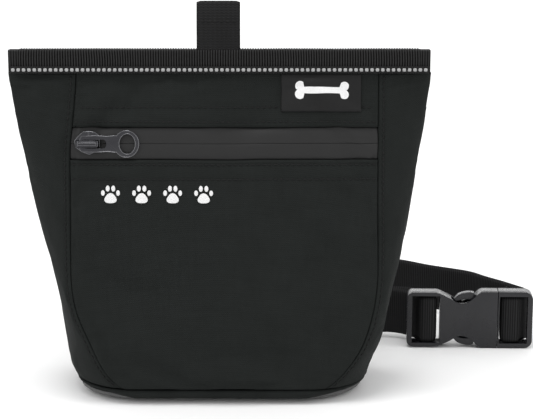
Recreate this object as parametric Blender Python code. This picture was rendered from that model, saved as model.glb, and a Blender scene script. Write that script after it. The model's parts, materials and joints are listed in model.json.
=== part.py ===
"""Treat pouch with a zip pocket, a magnet-closed mouth and a waist belt with a side-release buckle.

Metres, +Z up. The pouch faces -Y, and the origin is on the floor under the middle of its base.
"""

import math

import bmesh
import bpy
from mathutils import Matrix, Vector

# Pouch body: heights above the floor, and half sizes of its plan at the base and at the mouth.
TOP_Z = 0.166
BIND_Z = 0.1546
SEAM_Z = 0.0065
BASE_HALF_X, BASE_HALF_Y = 0.0715, 0.0295
TOP_HALF_X, TOP_HALF_Y = 0.098, 0.0034
SIDE_BOW = 0.26
WALL = 0.0014
GAP = 0.0003

# Front panel: half width, the shift of the sewn panel to its right, and its rounded lower corners.
PANEL_HALF, PANEL_SHIFT = 0.072, 0.002
CORNER_Z, CORNER_SPAN = 0.064, 0.060
CORNER_FLAT, CORNER_SEAM = 0.044, 0.034

# Zip across the front, and the pocket behind it.
ZIP_LOW, ZIP_HIGH = 0.1148, 0.1298
ZIP_SLIT = 0.0011
ZIP_HALF = 0.0712
TAPE = 0.0008
TAPE_DEPTH = 0.0003
POCKET_DEPTH, POCKET_INSET = 0.0040, 0.006
LINING = 0.0008
SLIDER_X = -0.0615
PLATE_LENGTH, PLATE_WIDTH, PLATE = 0.0126, 0.0100, 0.0012
POST_X, POST_HALF = (-0.0055, -0.0015), 0.00025
BRIDGE_RISE, BRIDGE_WIDTH, BRIDGE_THICK = 0.0033, 0.0026, 0.0008
PULL_PIVOT_X, PULL_CLEAR, PULL_THICK = -0.0026, 0.0016, 0.0012

# Binding, mouth stiffeners, magnets, label and pull tab.
BINDING_BACK, BINDING_FRONT, BINDING_WALL = 0.0003, 0.0049, 0.0008
STIFFENER_HALF = 0.092
STIFFENER_NEAR, STIFFENER_FAR = 0.0030, 0.0038
STITCH_END, STITCH_FRONT, STITCH_BACK = 0.001, -0.0056, -0.0052
STITCH_Z = (0.1559, 0.1573)
MAGNET_X, MAGNET_R, MAGNET_THICK, MAGNET_Y = 0.045, 0.0044, 0.0012, 0.00205
LABEL_X, LABEL_Z, LABEL_THICK = (0.0287, 0.0660), (0.1367, 0.1540), 0.0008
TAB_X, TAB_HALF, TAB_TOP, TAB_THICK = -0.0004, 0.0101, 0.188, 0.0030
TAB_AXIS_Z = TOP_Z + GAP + TAB_THICK / 2
TAB_Y = -0.0026

# Belt webbing and its buckle. The buckle's own frame is turned a little about Z.
WEB, WEB_THICK = 0.0242, 0.0014
BUCKLE_AT = Vector((0.1254, 0.0562, 0.0149))
BUCKLE_YAW = math.radians(-1.6)
BUCKLE_HALF, BUCKLE_HEIGHT, BUCKLE_THICK = 0.0319, 0.0298, 0.0074
SOCKET_END_TOP = 0.0143
SOCKET_CORNER, PLUG_CORNER = 0.0025, 0.0040
BAR_THICK = 0.0030
PARTING_X = 0.0140
CAVITY_X, CAVITY_HALF_Z, CAVITY_HALF_Y = -0.0095, 0.0122, 0.0024
TONGUE_X, TONGUE_HALF_Y, TONGUE_HALF_Z = -0.0070, 0.0021, 0.0022
ARM_X, ARM_Z, ARM_HALF_Y = 0.0121, 0.0098, 0.0020

# The slots' far and near edges, either side of each middle bar. X counts outwards from the buckle's middle.
OUTER_SLOT = (0.0293, 0.0242)
SOCKET_INNER_SLOT = (0.0187, 0.0153)
PLUG_INNER_SLOT = (0.0179, 0.0152)
OUTER_SLOT_HALF_Z, INNER_SLOT_HALF_Z = 0.0125, 0.0123

# The webbing's turn round each middle bar, X as above and Y backwards: at the socket from its tail to the
# strap, and at the plug from the strap to its tail.
SOCKET_WRAP = [
    (0.0760, 0.0146), (0.0560, 0.0146), (0.0400, 0.0143), (0.0300, 0.0128), (0.0235, 0.0098), (0.0192, 0.0055),
    (0.0176, 0.0015), (0.0175, -0.0012), (0.0187, -0.0025), (0.0215, -0.0027), (0.0243, -0.0025),
    (0.0254, -0.0010), (0.0264, 0.0012), (0.0285, 0.0042), (0.0318, 0.0078), (0.0362, 0.0106), (0.0430, 0.0120),
]
PLUG_WRAP = [
    (0.0304, 0.0080), (0.0298, 0.0048), (0.0278, 0.0024), (0.0260, 0.0008), (0.0254, -0.0010), (0.0243, -0.0025),
    (0.0213, -0.0027), (0.0179, -0.0025), (0.0164, -0.0012), (0.0163, 0.0012), (0.0164, 0.0040), (0.0171, 0.0080),
    (0.0186, 0.0125), (0.0200, 0.0165),
]

# Belt loops on the back: how far each stands off the rear panel at its heights.
LOOP_X, LOOP_HALF, LOOP_THICK = 0.034, 0.0125, 0.0013
LOOP_STAND_OFF = (
    (0.0280, 0.0), (0.0315, 0.0), (0.0355, 0.0030), (0.0400, 0.0040), (0.0500, 0.0058),
    (0.0600, 0.0074), (0.0680, 0.0072), (0.0760, 0.0030), (0.0810, 0.0), (0.0850, 0.0),
)
BELT_LOOP_Z, BELT_LOOP_Y = 0.051, 0.0262

COLLECTION = None
MATERIALS = {}


def clear_scene():
    for item in list(bpy.data.objects):
        bpy.data.objects.remove(item, do_unlink=True)


def make_collection(name):
    collection = bpy.data.collections.new(name)
    bpy.context.scene.collection.children.link(collection)
    return collection


def make_material(name, colour, roughness, metallic=0.0):
    material = bpy.data.materials.new(name)
    material.use_nodes = True
    shader = material.node_tree.nodes["Principled BSDF"]
    shader.inputs["Base Color"].default_value = (*colour, 1.0)
    shader.inputs["Roughness"].default_value = roughness
    shader.inputs["Metallic"].default_value = metallic
    MATERIALS[name] = material


def place(name, mesh, material, parent=None):
    """A named object for the mesh, in its own material, shaded smooth up to 35 degrees."""
    mesh.materials.append(MATERIALS[material])
    item = bpy.data.objects.new(name, mesh)
    COLLECTION.objects.link(item)
    mesh.shade_smooth()
    mesh.set_sharp_from_angle(angle=math.radians(35))
    item.parent = parent
    return item


def frame_empty(name, location, rotation=(0.0, 0.0, 0.0), parent=None):
    empty = bpy.data.objects.new(name, None)
    COLLECTION.objects.link(empty)
    empty.location = location
    empty.rotation_euler = rotation
    empty.parent = parent
    return empty


def mesh_from(name, build):
    """A mesh filled by build(bm), with its normals pointing out."""
    bm = bmesh.new()
    build(bm)
    bmesh.ops.recalc_face_normals(bm, faces=bm.faces)
    mesh = bpy.data.meshes.new(name)
    bm.to_mesh(mesh)
    bm.free()
    return mesh


def box_mesh(name, low, high):
    centre = (Vector(low) + Vector(high)) / 2
    size = Vector(high) - Vector(low)
    matrix = Matrix.Translation(centre) @ Matrix.Diagonal((*size, 1.0))
    return mesh_from(name, lambda bm: bmesh.ops.create_cube(bm, size=1.0, matrix=matrix))


def loft_mesh(name, rings, closed):
    """Rings of equal length joined in turn. An open loft gets flat ends, a closed one joins up."""

    def build(bm):
        rows = [[bm.verts.new(p) for p in ring] for ring in rings]
        pairs = list(zip(rows, rows[1:]))
        if closed:
            pairs.append((rows[-1], rows[0]))
        for first, second in pairs:
            for i in range(len(first)):
                j = (i + 1) % len(first)
                bm.faces.new((first[i], first[j], second[j], second[i]))
        if not closed:
            bm.faces.new(rows[0])
            bm.faces.new(rows[-1])

    return mesh_from(name, build)


def sheet_mesh(name, outer, inner):
    """A closed sheet between two grids of the same size, such as a wall's two faces."""
    rings = []
    for out_row, in_row in zip(outer, inner):
        rings.append(list(out_row) + list(reversed(in_row)))
    return loft_mesh(name, rings, closed=False)


def smooth_path(points, step):
    """Points about one step apart on a Catmull-Rom curve through the given points."""
    points = [Vector(p) for p in points]
    ends = [2 * points[0] - points[1]] + points + [2 * points[-1] - points[-2]]
    path = []
    for a, b, c, d in zip(ends, ends[1:], ends[2:], ends[3:]):
        steps = max(1, round((c - b).length / step))
        for i in range(steps):
            t = i / steps
            path.append(0.5 * (
                2 * b + (c - a) * t
                + (2 * a - 5 * b + 4 * c - d) * t * t
                + (3 * b - 3 * c + d - a) * t ** 3
            ))
    path.append(points[-1])
    return path


def ribbon_mesh(name, path, across, width, thickness, closed=False):
    """A flat strap along the path, with its width kept as near to the across direction as it can."""
    rings = []
    count = len(path)
    for i, point in enumerate(path):
        before = path[(i - 1) % count] if closed else path[max(i - 1, 0)]
        after = path[(i + 1) % count] if closed else path[min(i + 1, count - 1)]
        along = (after - before).normalized()
        wide = (across - along * across.dot(along)).normalized() * width / 2
        deep = along.cross(wide).normalized() * thickness / 2
        rings.append([point - wide - deep, point + wide - deep, point + wide + deep, point - wide + deep])
    return loft_mesh(name, rings, closed)


def outline_mesh(name, loops, half_thickness, matrix):
    """A flat plate: the first loop is its edge, the others are its holes. The plate's own Z is its depth."""
    curve = bpy.data.curves.new(name, "CURVE")
    curve.dimensions = "2D"
    curve.fill_mode = "BOTH"
    curve.extrude = half_thickness
    for loop in loops:
        spline = curve.splines.new("POLY")
        spline.points.add(len(loop) - 1)
        for point, (x, y) in zip(spline.points, loop):
            point.co = (x, y, 0.0, 1.0)
        spline.use_cyclic_u = True
    holder = bpy.data.objects.new(name, curve)
    bpy.context.scene.collection.objects.link(holder)
    bpy.context.view_layer.update()
    evaluated = holder.evaluated_get(bpy.context.evaluated_depsgraph_get())
    mesh = bpy.data.meshes.new_from_object(evaluated)
    bpy.data.objects.remove(holder, do_unlink=True)
    bm = bmesh.new()
    bm.from_mesh(mesh)
    bmesh.ops.remove_doubles(bm, verts=bm.verts, dist=1e-6)
    bmesh.ops.transform(bm, matrix=matrix, verts=bm.verts)
    bmesh.ops.recalc_face_normals(bm, faces=bm.faces)
    bm.to_mesh(mesh)
    bm.free()
    return mesh


def arc(cx, cy, rx, ry, start, end, steps):
    """Points on an arc of an ellipse, from one angle to the other in degrees, both ends included."""
    points = []
    for i in range(steps + 1):
        angle = math.radians(start + (end - start) * i / steps)
        points.append((cx + rx * math.cos(angle), cy + ry * math.sin(angle)))
    return points


# The pouch's plan at each height: a flat front and back, and elliptical sides.


def rise(z):
    return (z - SEAM_Z) / (BIND_Z - SEAM_Z)


def half_width(z):
    t = rise(z)
    return BASE_HALF_X + (TOP_HALF_X - BASE_HALF_X) * t * (1 + SIDE_BOW * (1 - t))


def half_depth(z):
    return BASE_HALF_Y + (TOP_HALF_Y - BASE_HALF_Y) * rise(z)


LEAN = math.atan2(BASE_HALF_Y - TOP_HALF_Y, BIND_Z - SEAM_Z)


def corner(z):
    u = min(max((CORNER_Z - z) / CORNER_SPAN, 0.0), 1.0)
    return 1 - math.sqrt(1 - u * u)


def flat_half(z):
    return PANEL_HALF - CORNER_FLAT * corner(z)


def seam_half(z):
    return PANEL_HALF - CORNER_SEAM * corner(z)


def sewn(x, y, z, share):
    """A point of the plan, with the front shifted to its right: all of it at share -1, none from 0 up."""
    return Vector((x + PANEL_SHIFT * max(0.0, -share), y, z))


def heights(low, high, steps):
    return [low + (high - low) * i / steps for i in range(steps + 1)]


def body_levels(top, steps):
    """Levels from the base seam up. Every panel shares those of the curved corners, so the seams agree."""
    return heights(SEAM_Z + GAP, CORNER_Z, 9) + heights(CORNER_Z, top, steps)[1:]


def panel_grid(side, levels, half, depth, columns):
    """One face of a front (side -1) or back (+1) panel, a depth inside the pouch's outer surface."""
    grid = []
    for z in levels:
        reach, flat, wide = half(z), flat_half(z), half_width(z)
        row = []
        for i in range(columns + 1):
            x = reach * (2 * i / columns - 1)
            past = max(0.0, abs(x) - flat) / (wide - flat)
            share = side * math.sqrt(1 - past * past)
            row.append(sewn(x, half_depth(z) * share - side * depth, z, share))
        grid.append(row)
    return grid


def wall_panel(name, side, levels, half, depth, thickness, material, parent=None, columns=12):
    outer = panel_grid(side, levels, half, depth, columns)
    inner = panel_grid(side, levels, half, depth + thickness, columns)
    mesh = sheet_mesh(name, outer, inner)
    if parent:
        mesh.transform(parent.matrix_world.inverted())
    return place(name, mesh, material, parent)


def seam_edge(z):
    return seam_half(z) - GAP / 2


def gusset(name, side):
    """The side panel between the front and back seams. It folds outwards towards the mouth."""
    levels = body_levels(BIND_Z - GAP, 7)
    columns = 14

    def face(inset_x, inset_y):
        grid = []
        for z in levels:
            flat, wide, deep = flat_half(z), half_width(z) - inset_x, half_depth(z) - inset_y
            start = math.acos(min(1.0, (seam_half(z) + GAP / 2 - flat) / (wide - flat)))
            row = []
            for i in range(columns + 1):
                angle = start * (2 * i / columns - 1)
                x = side * (flat + (wide - flat) * math.cos(angle))
                share = math.sin(angle)
                row.append(sewn(x, deep * share, z, share))
            grid.append(row)
        return grid

    place(name, sheet_mesh(name, face(0.0, 0.0), face(1.6 * WALL, WALL)), "fabric")


def plan_ring(inset, z, steps=8):
    """The base's outline at a height, drawn in by the inset."""
    flat, wide, deep = flat_half(SEAM_Z), BASE_HALF_X - inset, BASE_HALF_Y - inset
    ring = []
    for side, start in ((1, 0), (-1, 90), (-1, 180), (1, 270)):
        for px, py in arc(0.0, 0.0, wide - flat, deep, start, start + 90, steps):
            ring.append(Vector((px + side * flat, py, z)))
    return ring


def make_base():
    """A shallow tray of cloth, and the stiff board that lies in it. Each ring is its inset and its height."""
    tray = [(0.0050, 0.0), (0.0016, 0.0014), (0.0, 0.0062), (0.0016, 0.0062), (0.0034, 0.0016)]
    board = [(0.0046, 0.0019), (0.0040, 0.0024), (0.0040, 0.0039)]
    for name, rings, material in (("base_panel", tray, "fabric"), ("base_board", board, "board")):
        place(name, loft_mesh(name, [plan_ring(inset, z) for inset, z in rings], closed=False), material)


def make_body(front):
    full = body_levels(BIND_Z - GAP, 7)
    pocket = body_levels(ZIP_LOW - GAP, 4)
    yoke = heights(ZIP_HIGH + GAP, BIND_Z - GAP, 3)
    wall_panel("rear_panel", 1, full, seam_edge, 0.0, WALL, "fabric")
    wall_panel("pocket_panel", -1, pocket, seam_edge, 0.0, WALL, "fabric", front)
    wall_panel("front_yoke", -1, yoke, seam_edge, 0.0, WALL, "fabric", front)
    # The pocket's back is fuller low down, where the pouch is deep, and meets the front at the top.
    back = heights(SEAM_Z + 0.010, ZIP_HIGH + 0.004, 10)
    wall_panel(
        "pocket_back", -1, back, lambda z: seam_half(z) - POCKET_INSET, POCKET_DEPTH, LINING, "lining", front
    )
    gusset("left_gusset", -1)
    gusset("right_gusset", 1)
    make_base()


def make_zip(front):
    middle = (ZIP_LOW + ZIP_HIGH) / 2
    for name, low, high in (
        ("zip_tape_lower", ZIP_LOW, middle - ZIP_SLIT / 2),
        ("zip_tape_upper", middle + ZIP_SLIT / 2, ZIP_HIGH),
    ):
        wall_panel(name, -1, [low, high], lambda z: ZIP_HALF, TAPE_DEPTH, TAPE, "tape", front)
    zip_frame = frame_empty(
        "zip_frame", front.matrix_world.inverted() @ Vector((PANEL_SHIFT, -half_depth(middle), middle)),
        (-LEAN, 0.0, 0.0), front,
    )
    bpy.context.view_layer.update()
    return zip_frame


def union(base, others):
    """The base mesh joined with the others, which are used up."""
    holder = bpy.data.objects.new("union_base", base)
    bpy.context.scene.collection.objects.link(holder)
    helpers = []
    for mesh in others:
        helper = bpy.data.objects.new("union_part", mesh)
        bpy.context.scene.collection.objects.link(helper)
        helpers.append(helper)
        join = holder.modifiers.new("join", "BOOLEAN")
        join.operation = "UNION"
        join.object = helper
    bpy.context.view_layer.update()
    evaluated = holder.evaluated_get(bpy.context.evaluated_depsgraph_get())
    result = bpy.data.meshes.new_from_object(evaluated)
    for item in [holder] + helpers:
        bpy.data.objects.remove(item, do_unlink=True)
    return result


def cut(item, cutters, mesh):
    """Cut the mesh out of the item. The cutter object stays, hidden, in its own collection."""
    cutter = bpy.data.objects.new(mesh.name, mesh)
    cutters.objects.link(cutter)
    cutter.parent = item.parent
    cutter.hide_render = True
    cutter.display_type = "WIRE"
    remove = item.modifiers.new("cut", "BOOLEAN")
    remove.operation = "DIFFERENCE"
    remove.object = cutter


def slider_outline():
    """A slider plate seen from the front: a point at its closed end, wings, and a blunt open end."""
    half, long = PLATE_WIDTH / 2, PLATE_LENGTH
    upper = [
        (-long / 2, half * 0.35), (-long * 0.05, half), (long * 0.16, half * 0.98),
        (long * 0.36, half * 0.72), (long / 2, half * 0.66),
    ]
    return [(x, -z) for x, z in upper] + upper[::-1]


def upright():
    """Turns a plate drawn in X and Y so that its Y points up and its depth lies along -Y."""
    return Matrix.Rotation(math.radians(90), 4, "X")


def make_slider(zip_frame):
    """The slider's two plates and the post between them, and its bridge. Returns its frame and its face."""
    slider = frame_empty("slider_frame", (SLIDER_X - PANEL_SHIFT, 0.0, 0.0), parent=zip_frame)
    front_y = TAPE_DEPTH - GAP - PLATE / 2
    back_y = TAPE_DEPTH + TAPE + GAP + PLATE / 2
    plates = []
    for name, y in (("slider_front", front_y), ("slider_back", back_y)):
        matrix = Matrix.Translation((0.0, y, 0.0)) @ upright()
        plates.append(outline_mesh(name, [slider_outline()], PLATE / 2, matrix))
    post = box_mesh("slider_post", (POST_X[0], front_y, -POST_HALF), (POST_X[1], back_y, POST_HALF))
    place("slider_body", union(plates[0], [plates[1], post]), "slider_metal", slider)
    face = front_y - PLATE / 2
    foot, crown = face - 0.0004, face - BRIDGE_RISE
    path = [
        (-0.0050, foot, 0.0), (-0.0049, crown + 0.0012, 0.0), (-0.0038, crown + 0.0003, 0.0),
        (0.0, crown, 0.0), (0.0038, crown + 0.0003, 0.0), (0.0049, crown + 0.0012, 0.0), (0.0050, foot, 0.0),
    ]
    bridge = ribbon_mesh(
        "slider_bridge", smooth_path(path, 0.0012), Vector((0.0, 0.0, 1.0)), BRIDGE_WIDTH, BRIDGE_THICK
    )
    place("slider_bridge", bridge, "slider_metal", slider)
    return slider, face


def make_pull(slider, face):
    """The pull: a slot for the bridge to pass through, a neck, and a ring to hold."""
    pull = frame_empty("pull_frame", (PULL_PIVOT_X, face - PULL_CLEAR, 0.0), parent=slider)
    grip = arc(0.0208, 0.0, 0.0062, 0.0062, -138, 138, 18)
    edge = (
        [(-0.0007, -0.0033), (0.0095, -0.0033), (0.0132, -0.0040)] + grip
        + [(0.0132, 0.0040), (0.0095, 0.0033), (-0.0007, 0.0033)]
    )
    hole = arc(0.0212, 0.0, 0.0036, 0.0046, 0, 345, 15)
    slot = [(0.0007, -0.0018), (0.0095, -0.0018), (0.0106, 0.0), (0.0095, 0.0018), (0.0007, 0.0018)]
    mesh = outline_mesh("zip_pull", [edge, hole, slot], PULL_THICK / 2, upright())
    place("zip_pull", mesh, "slider_metal", pull)


def channel_outline(side):
    """The binding's folded section, seen along X: it straddles the mouth's edge and is open below."""
    out, back, wall = side * BINDING_FRONT, side * BINDING_BACK, side * BINDING_WALL
    roof = TOP_Z - BINDING_WALL
    return [
        (out, BIND_Z), (out, TOP_Z), (back, TOP_Z), (back, BIND_Z),
        (back + wall, BIND_Z), (back + wall, roof), (out - wall, roof), (out - wall, BIND_Z),
    ]


def along_x():
    """Turns a plate drawn in X and Y so that it is a section in Y and Z, with its depth along X."""
    return Matrix(((0, 0, 1, 0), (1, 0, 0, 0), (0, 1, 0, 0), (0, 0, 0, 1)))


def make_mouth(front):
    """Each lip has a folded binding, and in it a springy stiffener and two magnets."""
    to_front = front.matrix_world.inverted()
    for side, word in ((-1, "front"), (1, "rear")):
        parent = front if side < 0 else None
        move = to_front if side < 0 else Matrix.Identity(4)
        name = f"{word}_binding"
        mesh = outline_mesh(name, [channel_outline(side)], TOP_HALF_X, move @ along_x())
        place(name, mesh, "binding", parent)
        name = f"{word}_stiffener"
        low_y, high_y = sorted((side * STIFFENER_NEAR, side * STIFFENER_FAR))
        low = (-STIFFENER_HALF, low_y, BIND_Z + 0.0008)
        mesh = box_mesh(name, low, (STIFFENER_HALF, high_y, TOP_Z - 0.0014))
        mesh.transform(move)
        place(name, mesh, "steel", parent)
        for x, end in ((-MAGNET_X, "left"), (MAGNET_X, "right")):
            name = f"{word}_magnet_{end}"
            spot = Matrix.Translation((x, side * MAGNET_Y, (BIND_Z + TOP_Z) / 2)) @ upright()
            place(name, disc_mesh(name, move @ spot), "steel", parent)
    low = (-TOP_HALF_X + STITCH_END, STITCH_FRONT, STITCH_Z[0])
    high = (TOP_HALF_X - STITCH_END, STITCH_BACK, STITCH_Z[1])
    mesh = box_mesh("reflective_stitch", low, high)
    mesh.transform(to_front)
    place("reflective_stitch", mesh, "reflective", front)
    label = wall_panel(
        "label_patch", -1, list(LABEL_Z), lambda z: (LABEL_X[1] - LABEL_X[0]) / 2,
        -GAP - LABEL_THICK, LABEL_THICK, "label", front, columns=2,
    )
    label.location.x = (LABEL_X[0] + LABEL_X[1]) / 2 - PANEL_SHIFT


def disc_mesh(name, matrix):
    """A magnet: a thin disc about the matrix's own Z."""
    return mesh_from(name, lambda bm: bmesh.ops.create_cone(
        bm, cap_ends=True, segments=20, radius1=MAGNET_R, radius2=MAGNET_R, depth=MAGNET_THICK, matrix=matrix,
    ))


def make_tab(front):
    """A folded webbing grip. Its lower edge is round about the line that it bends on."""
    bend = frame_empty(
        "tab_frame", front.matrix_world.inverted() @ Vector((TAB_X, TAB_Y, TAB_AXIS_Z)), parent=front
    )
    r = TAB_THICK / 2
    height = TAB_TOP - TAB_AXIS_Z
    section = arc(0.0, 0.0, r, r, 180, 360, 8) + arc(0.0, height - r, r, r, 0, 180, 8)
    mesh = outline_mesh("pull_tab", [section], TAB_HALF, along_x())
    place("pull_tab", mesh, "webbing", bend)


def socket_outline():
    """The socket from the front: along its top with the waist, and back along its bottom."""
    top = BUCKLE_HEIGHT / 2
    r = SOCKET_CORNER
    upper = arc(-BUCKLE_HALF + r, SOCKET_END_TOP - r, r, r, 180, 90, 4) + [
        (-0.0170, SOCKET_END_TOP), (-0.0150, SOCKET_END_TOP - 0.0006), (-0.0095, top - 0.0039), (-0.0066, top - 0.0058),
        (-0.0037, top - 0.0063), (-0.0008, top - 0.0054), (0.0017, top - 0.0035), (0.0044, top - 0.0008),
        (0.0056, top), (PARTING_X, top),
    ]
    return upper + [(x, -z) for x, z in reversed(upper)]


def ladder_slots(side, inner):
    """The two slots at a strap end, either side of its middle bar, as seen from the front."""
    slots = []
    for (far, near), z in ((OUTER_SLOT, OUTER_SLOT_HALF_Z), (inner, INNER_SLOT_HALF_Z)):
        slots.append([(side * far, -z), (side * near, -z), (side * near, z), (side * far, z)])
    return slots


def plug_edge(start):
    """The plug's flange from the front, with its two outer corners rounded."""
    top, r = BUCKLE_HEIGHT / 2, PLUG_CORNER
    x = BUCKLE_HALF - r
    corners = arc(x, -top + r, r, r, 270, 360, 5) + arc(x, top - r, r, r, 0, 90, 5)
    return [(start, -top)] + corners + [(start, top)]


def make_buckle(cutters):
    """The socket with its cavity, and the plug with its tongue and its two latch arms."""
    buckle = frame_empty("buckle_frame", BUCKLE_AT, (0.0, 0.0, BUCKLE_YAW))
    bpy.context.view_layer.update()
    half = BUCKLE_THICK / 2
    loops = [socket_outline()] + ladder_slots(-1, SOCKET_INNER_SLOT)
    mesh = outline_mesh("buckle_socket", loops, half, upright())
    socket = place("buckle_socket", mesh, "buckle_plastic", buckle)
    cavity = box_mesh(
        "socket_cavity", (CAVITY_X, -CAVITY_HALF_Y, -CAVITY_HALF_Z),
        (PARTING_X + 0.002, CAVITY_HALF_Y, CAVITY_HALF_Z),
    )
    cut(socket, cutters, cavity)
    thin_ladder(socket, cutters, -1, SOCKET_INNER_SLOT)
    plug_frame = frame_empty("plug_frame", (0.0, 0.0, 0.0), parent=buckle)
    start = PARTING_X + GAP
    slots = [[(x, z) for x, z in reversed(slot)] for slot in ladder_slots(1, PLUG_INNER_SLOT)]
    flange = outline_mesh("plug_flange", [plug_edge(start)] + slots, half, upright())
    tongue = box_mesh(
        "plug_tongue", (TONGUE_X, -TONGUE_HALF_Y, -TONGUE_HALF_Z),
        (start + 0.0006, TONGUE_HALF_Y, TONGUE_HALF_Z),
    )
    plug = place("buckle_plug", union(flange, [tongue]), "buckle_plastic", plug_frame)
    thin_ladder(plug, cutters, 1, PLUG_INNER_SLOT)
    for side, word in ((1, "upper"), (-1, "lower")):
        arm_frame = frame_empty(f"{word}_arm_frame", (ARM_X, 0.0, side * ARM_Z), parent=plug_frame)
        mesh = outline_mesh(f"latch_arm_{word}", [arm_outline(side)], ARM_HALF_Y, upright())
        place(f"latch_arm_{word}", mesh, "buckle_plastic", arm_frame)


def arm_outline(side):
    """A latch arm from its bend at the flange to the pad that fills the socket's waist."""
    points = [
        (0.0018, -0.0014), (0.0018, 0.0014), (-0.0098, 0.0018), (-0.0095, 0.0036), (-0.0112, 0.0042),
        (-0.0145, 0.0041), (-0.0180, 0.0029), (-0.0204, 0.0006), (-0.0200, -0.0012), (-0.0165, 0.0002),
        (-0.0130, 0.0004), (-0.0095, -0.0006),
    ]
    points = [(x, side * z) for x, z in points]
    return points if side < 0 else list(reversed(points))


def thin_ladder(item, cutters, side, inner):
    """Thins the middle bar front and back, and cuts the end bar back behind it for the webbing."""
    half_z, near = OUTER_SLOT_HALF_Z, inner[1] - 0.0002
    for sign, word, far in ((-1, "front", OUTER_SLOT[0]), (1, "rear", BUCKLE_HALF + 0.001)):
        low_x, high_x = sorted((side * far, side * near))
        low_y, high_y = sorted((sign * BAR_THICK / 2, sign * (BUCKLE_THICK / 2 + 0.001)))
        name = f"{item.name}_{word}_relief"
        mesh = box_mesh(name, (low_x, low_y, -half_z), (high_x, high_y, half_z))
        cut(item, cutters, mesh)


def buckle_point(x, y):
    """A point at the webbing's mid height, from the buckle's own frame."""
    return Matrix.Translation(BUCKLE_AT) @ Matrix.Rotation(BUCKLE_YAW, 4, "Z") @ Vector((x, y, 0.0))


def turn(x, y, r, side, low_z, high_z):
    """A half turn of the belt on edge: it leaves the row at y and joins the one behind it."""
    steps = 6
    points = []
    for i in range(steps + 1):
        angle = math.pi * i / steps
        z = low_z + (high_z - low_z) * i / steps
        points.append((x + side * r * math.sin(angle), y + r - r * math.cos(angle), z))
    return points


def belt_route():
    """From the tail at the socket, round its bar, in folds behind the pouch and back to the plug."""
    low = BUCKLE_AT.z
    route = [buckle_point(-x, y) for x, y in SOCKET_WRAP]
    route += [(0.0650, 0.0695, low), (0.0400, 0.0690, low), (0.0, 0.0685, low)]
    # Row one ends on the left, and the belt turns towards the pouch and climbs to its loops.
    route += turn(-0.046, 0.0480, 0.010, -1, low + 0.004, low)[::-1]
    route += [(-0.010, 0.0480, 0.0300), (0.028, 0.0472, 0.0435)]
    route += turn(0.056, BELT_LOOP_Y, 0.0104, 1, BELT_LOOP_Z, BELT_LOOP_Z - 0.003)[::-1]
    route += [(LOOP_X, BELT_LOOP_Y, BELT_LOOP_Z), (0.0, BELT_LOOP_Y, BELT_LOOP_Z)]
    route += [(-LOOP_X, BELT_LOOP_Y, BELT_LOOP_Z), (-0.0540, 0.0280, BELT_LOOP_Z - 0.002)]
    # Past the loops it goes round the outside of the first fold and down to the floor again.
    route += [(-0.0650, 0.0400, 0.0430), (-0.0670, 0.0580, 0.0330), (-0.0620, 0.0760, 0.0240)]
    route += [(-0.0460, 0.0860, 0.0180), (-0.0200, 0.0880, low + 0.001), (0.0200, 0.0880, low)]
    route += turn(0.048, 0.0880, 0.0075, 1, low, low)
    route += [(0.020, 0.1030, low), (-0.020, 0.1030, low)]
    route += turn(-0.048, 0.1030, 0.0080, -1, low, low)
    route += [(-0.010, 0.1195, low), (0.040, 0.1225, low), (0.0760, 0.1245, low), (0.0931, 0.1195, low)]
    # The far strap, and the curl that brings it back to the plug.
    route += [(0.1090, 0.1090, low), (0.1281, 0.0983, low), (0.1365, 0.0890, low), (0.1450, 0.0800, low)]
    route += [(0.1505, 0.0735, low), (0.1545, 0.0685, low)]
    return route + [buckle_point(x, y) for x, y in PLUG_WRAP]


def make_belt():
    path = smooth_path(belt_route(), 0.0030)
    up = Vector((0.0, 0.0, 1.0))
    place("belt_webbing", ribbon_mesh("belt_webbing", path, up, WEB, WEB_THICK), "webbing")


def make_loops():
    """Two upright loops of webbing on the back, which stand off it so that the belt passes under."""
    for side, word in ((-1, "left"), (1, "right")):
        x = side * LOOP_X
        route = [(x, half_depth(z) + GAP + WEB_THICK / 2 + off, z) for z, off in LOOP_STAND_OFF]
        name = f"{word}_belt_loop"
        path = smooth_path(route, 0.004)
        mesh = ribbon_mesh(name, path, Vector((1.0, 0.0, 0.0)), 2 * LOOP_HALF, LOOP_THICK)
        place(name, mesh, "webbing")


def make_pouch():
    global COLLECTION
    clear_scene()
    COLLECTION = make_collection("treat_pouch")
    cutters = make_collection("cutters")
    make_material("fabric", (0.017, 0.017, 0.018), 0.85)
    make_material("lining", (0.020, 0.020, 0.022), 0.7)
    make_material("binding", (0.020, 0.020, 0.021), 0.8)
    make_material("webbing", (0.016, 0.016, 0.017), 0.75)
    make_material("tape", (0.035, 0.035, 0.037), 0.45)
    make_material("label", (0.022, 0.022, 0.023), 0.6)
    make_material("reflective", (0.62, 0.62, 0.60), 0.4)
    make_material("buckle_plastic", (0.030, 0.030, 0.032), 0.38)
    make_material("slider_metal", (0.10, 0.10, 0.11), 0.35, 0.9)
    make_material("steel", (0.55, 0.55, 0.57), 0.3, 1.0)
    make_material("board", (0.08, 0.08, 0.08), 0.6)
    front = frame_empty("front_wall_frame", (0.0, -BASE_HALF_Y, SEAM_Z))
    bpy.context.view_layer.update()
    make_body(front)
    zip_frame = make_zip(front)
    slider_frame, face = make_slider(zip_frame)
    make_pull(slider_frame, face)
    make_mouth(front)
    make_tab(front)
    make_loops()
    make_buckle(cutters)
    make_belt()


make_pouch()
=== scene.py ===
"""The treat pouch as it looks: sewn cloth, ribbed binding, coated zip, webbing belt and moulded buckle.

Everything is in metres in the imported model's frame. The pouch faces -Y and stands on z = 0.
"""

import json
import math

import bmesh
import bpy
import numpy as np
from mathutils import Matrix, Vector, noise


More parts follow.
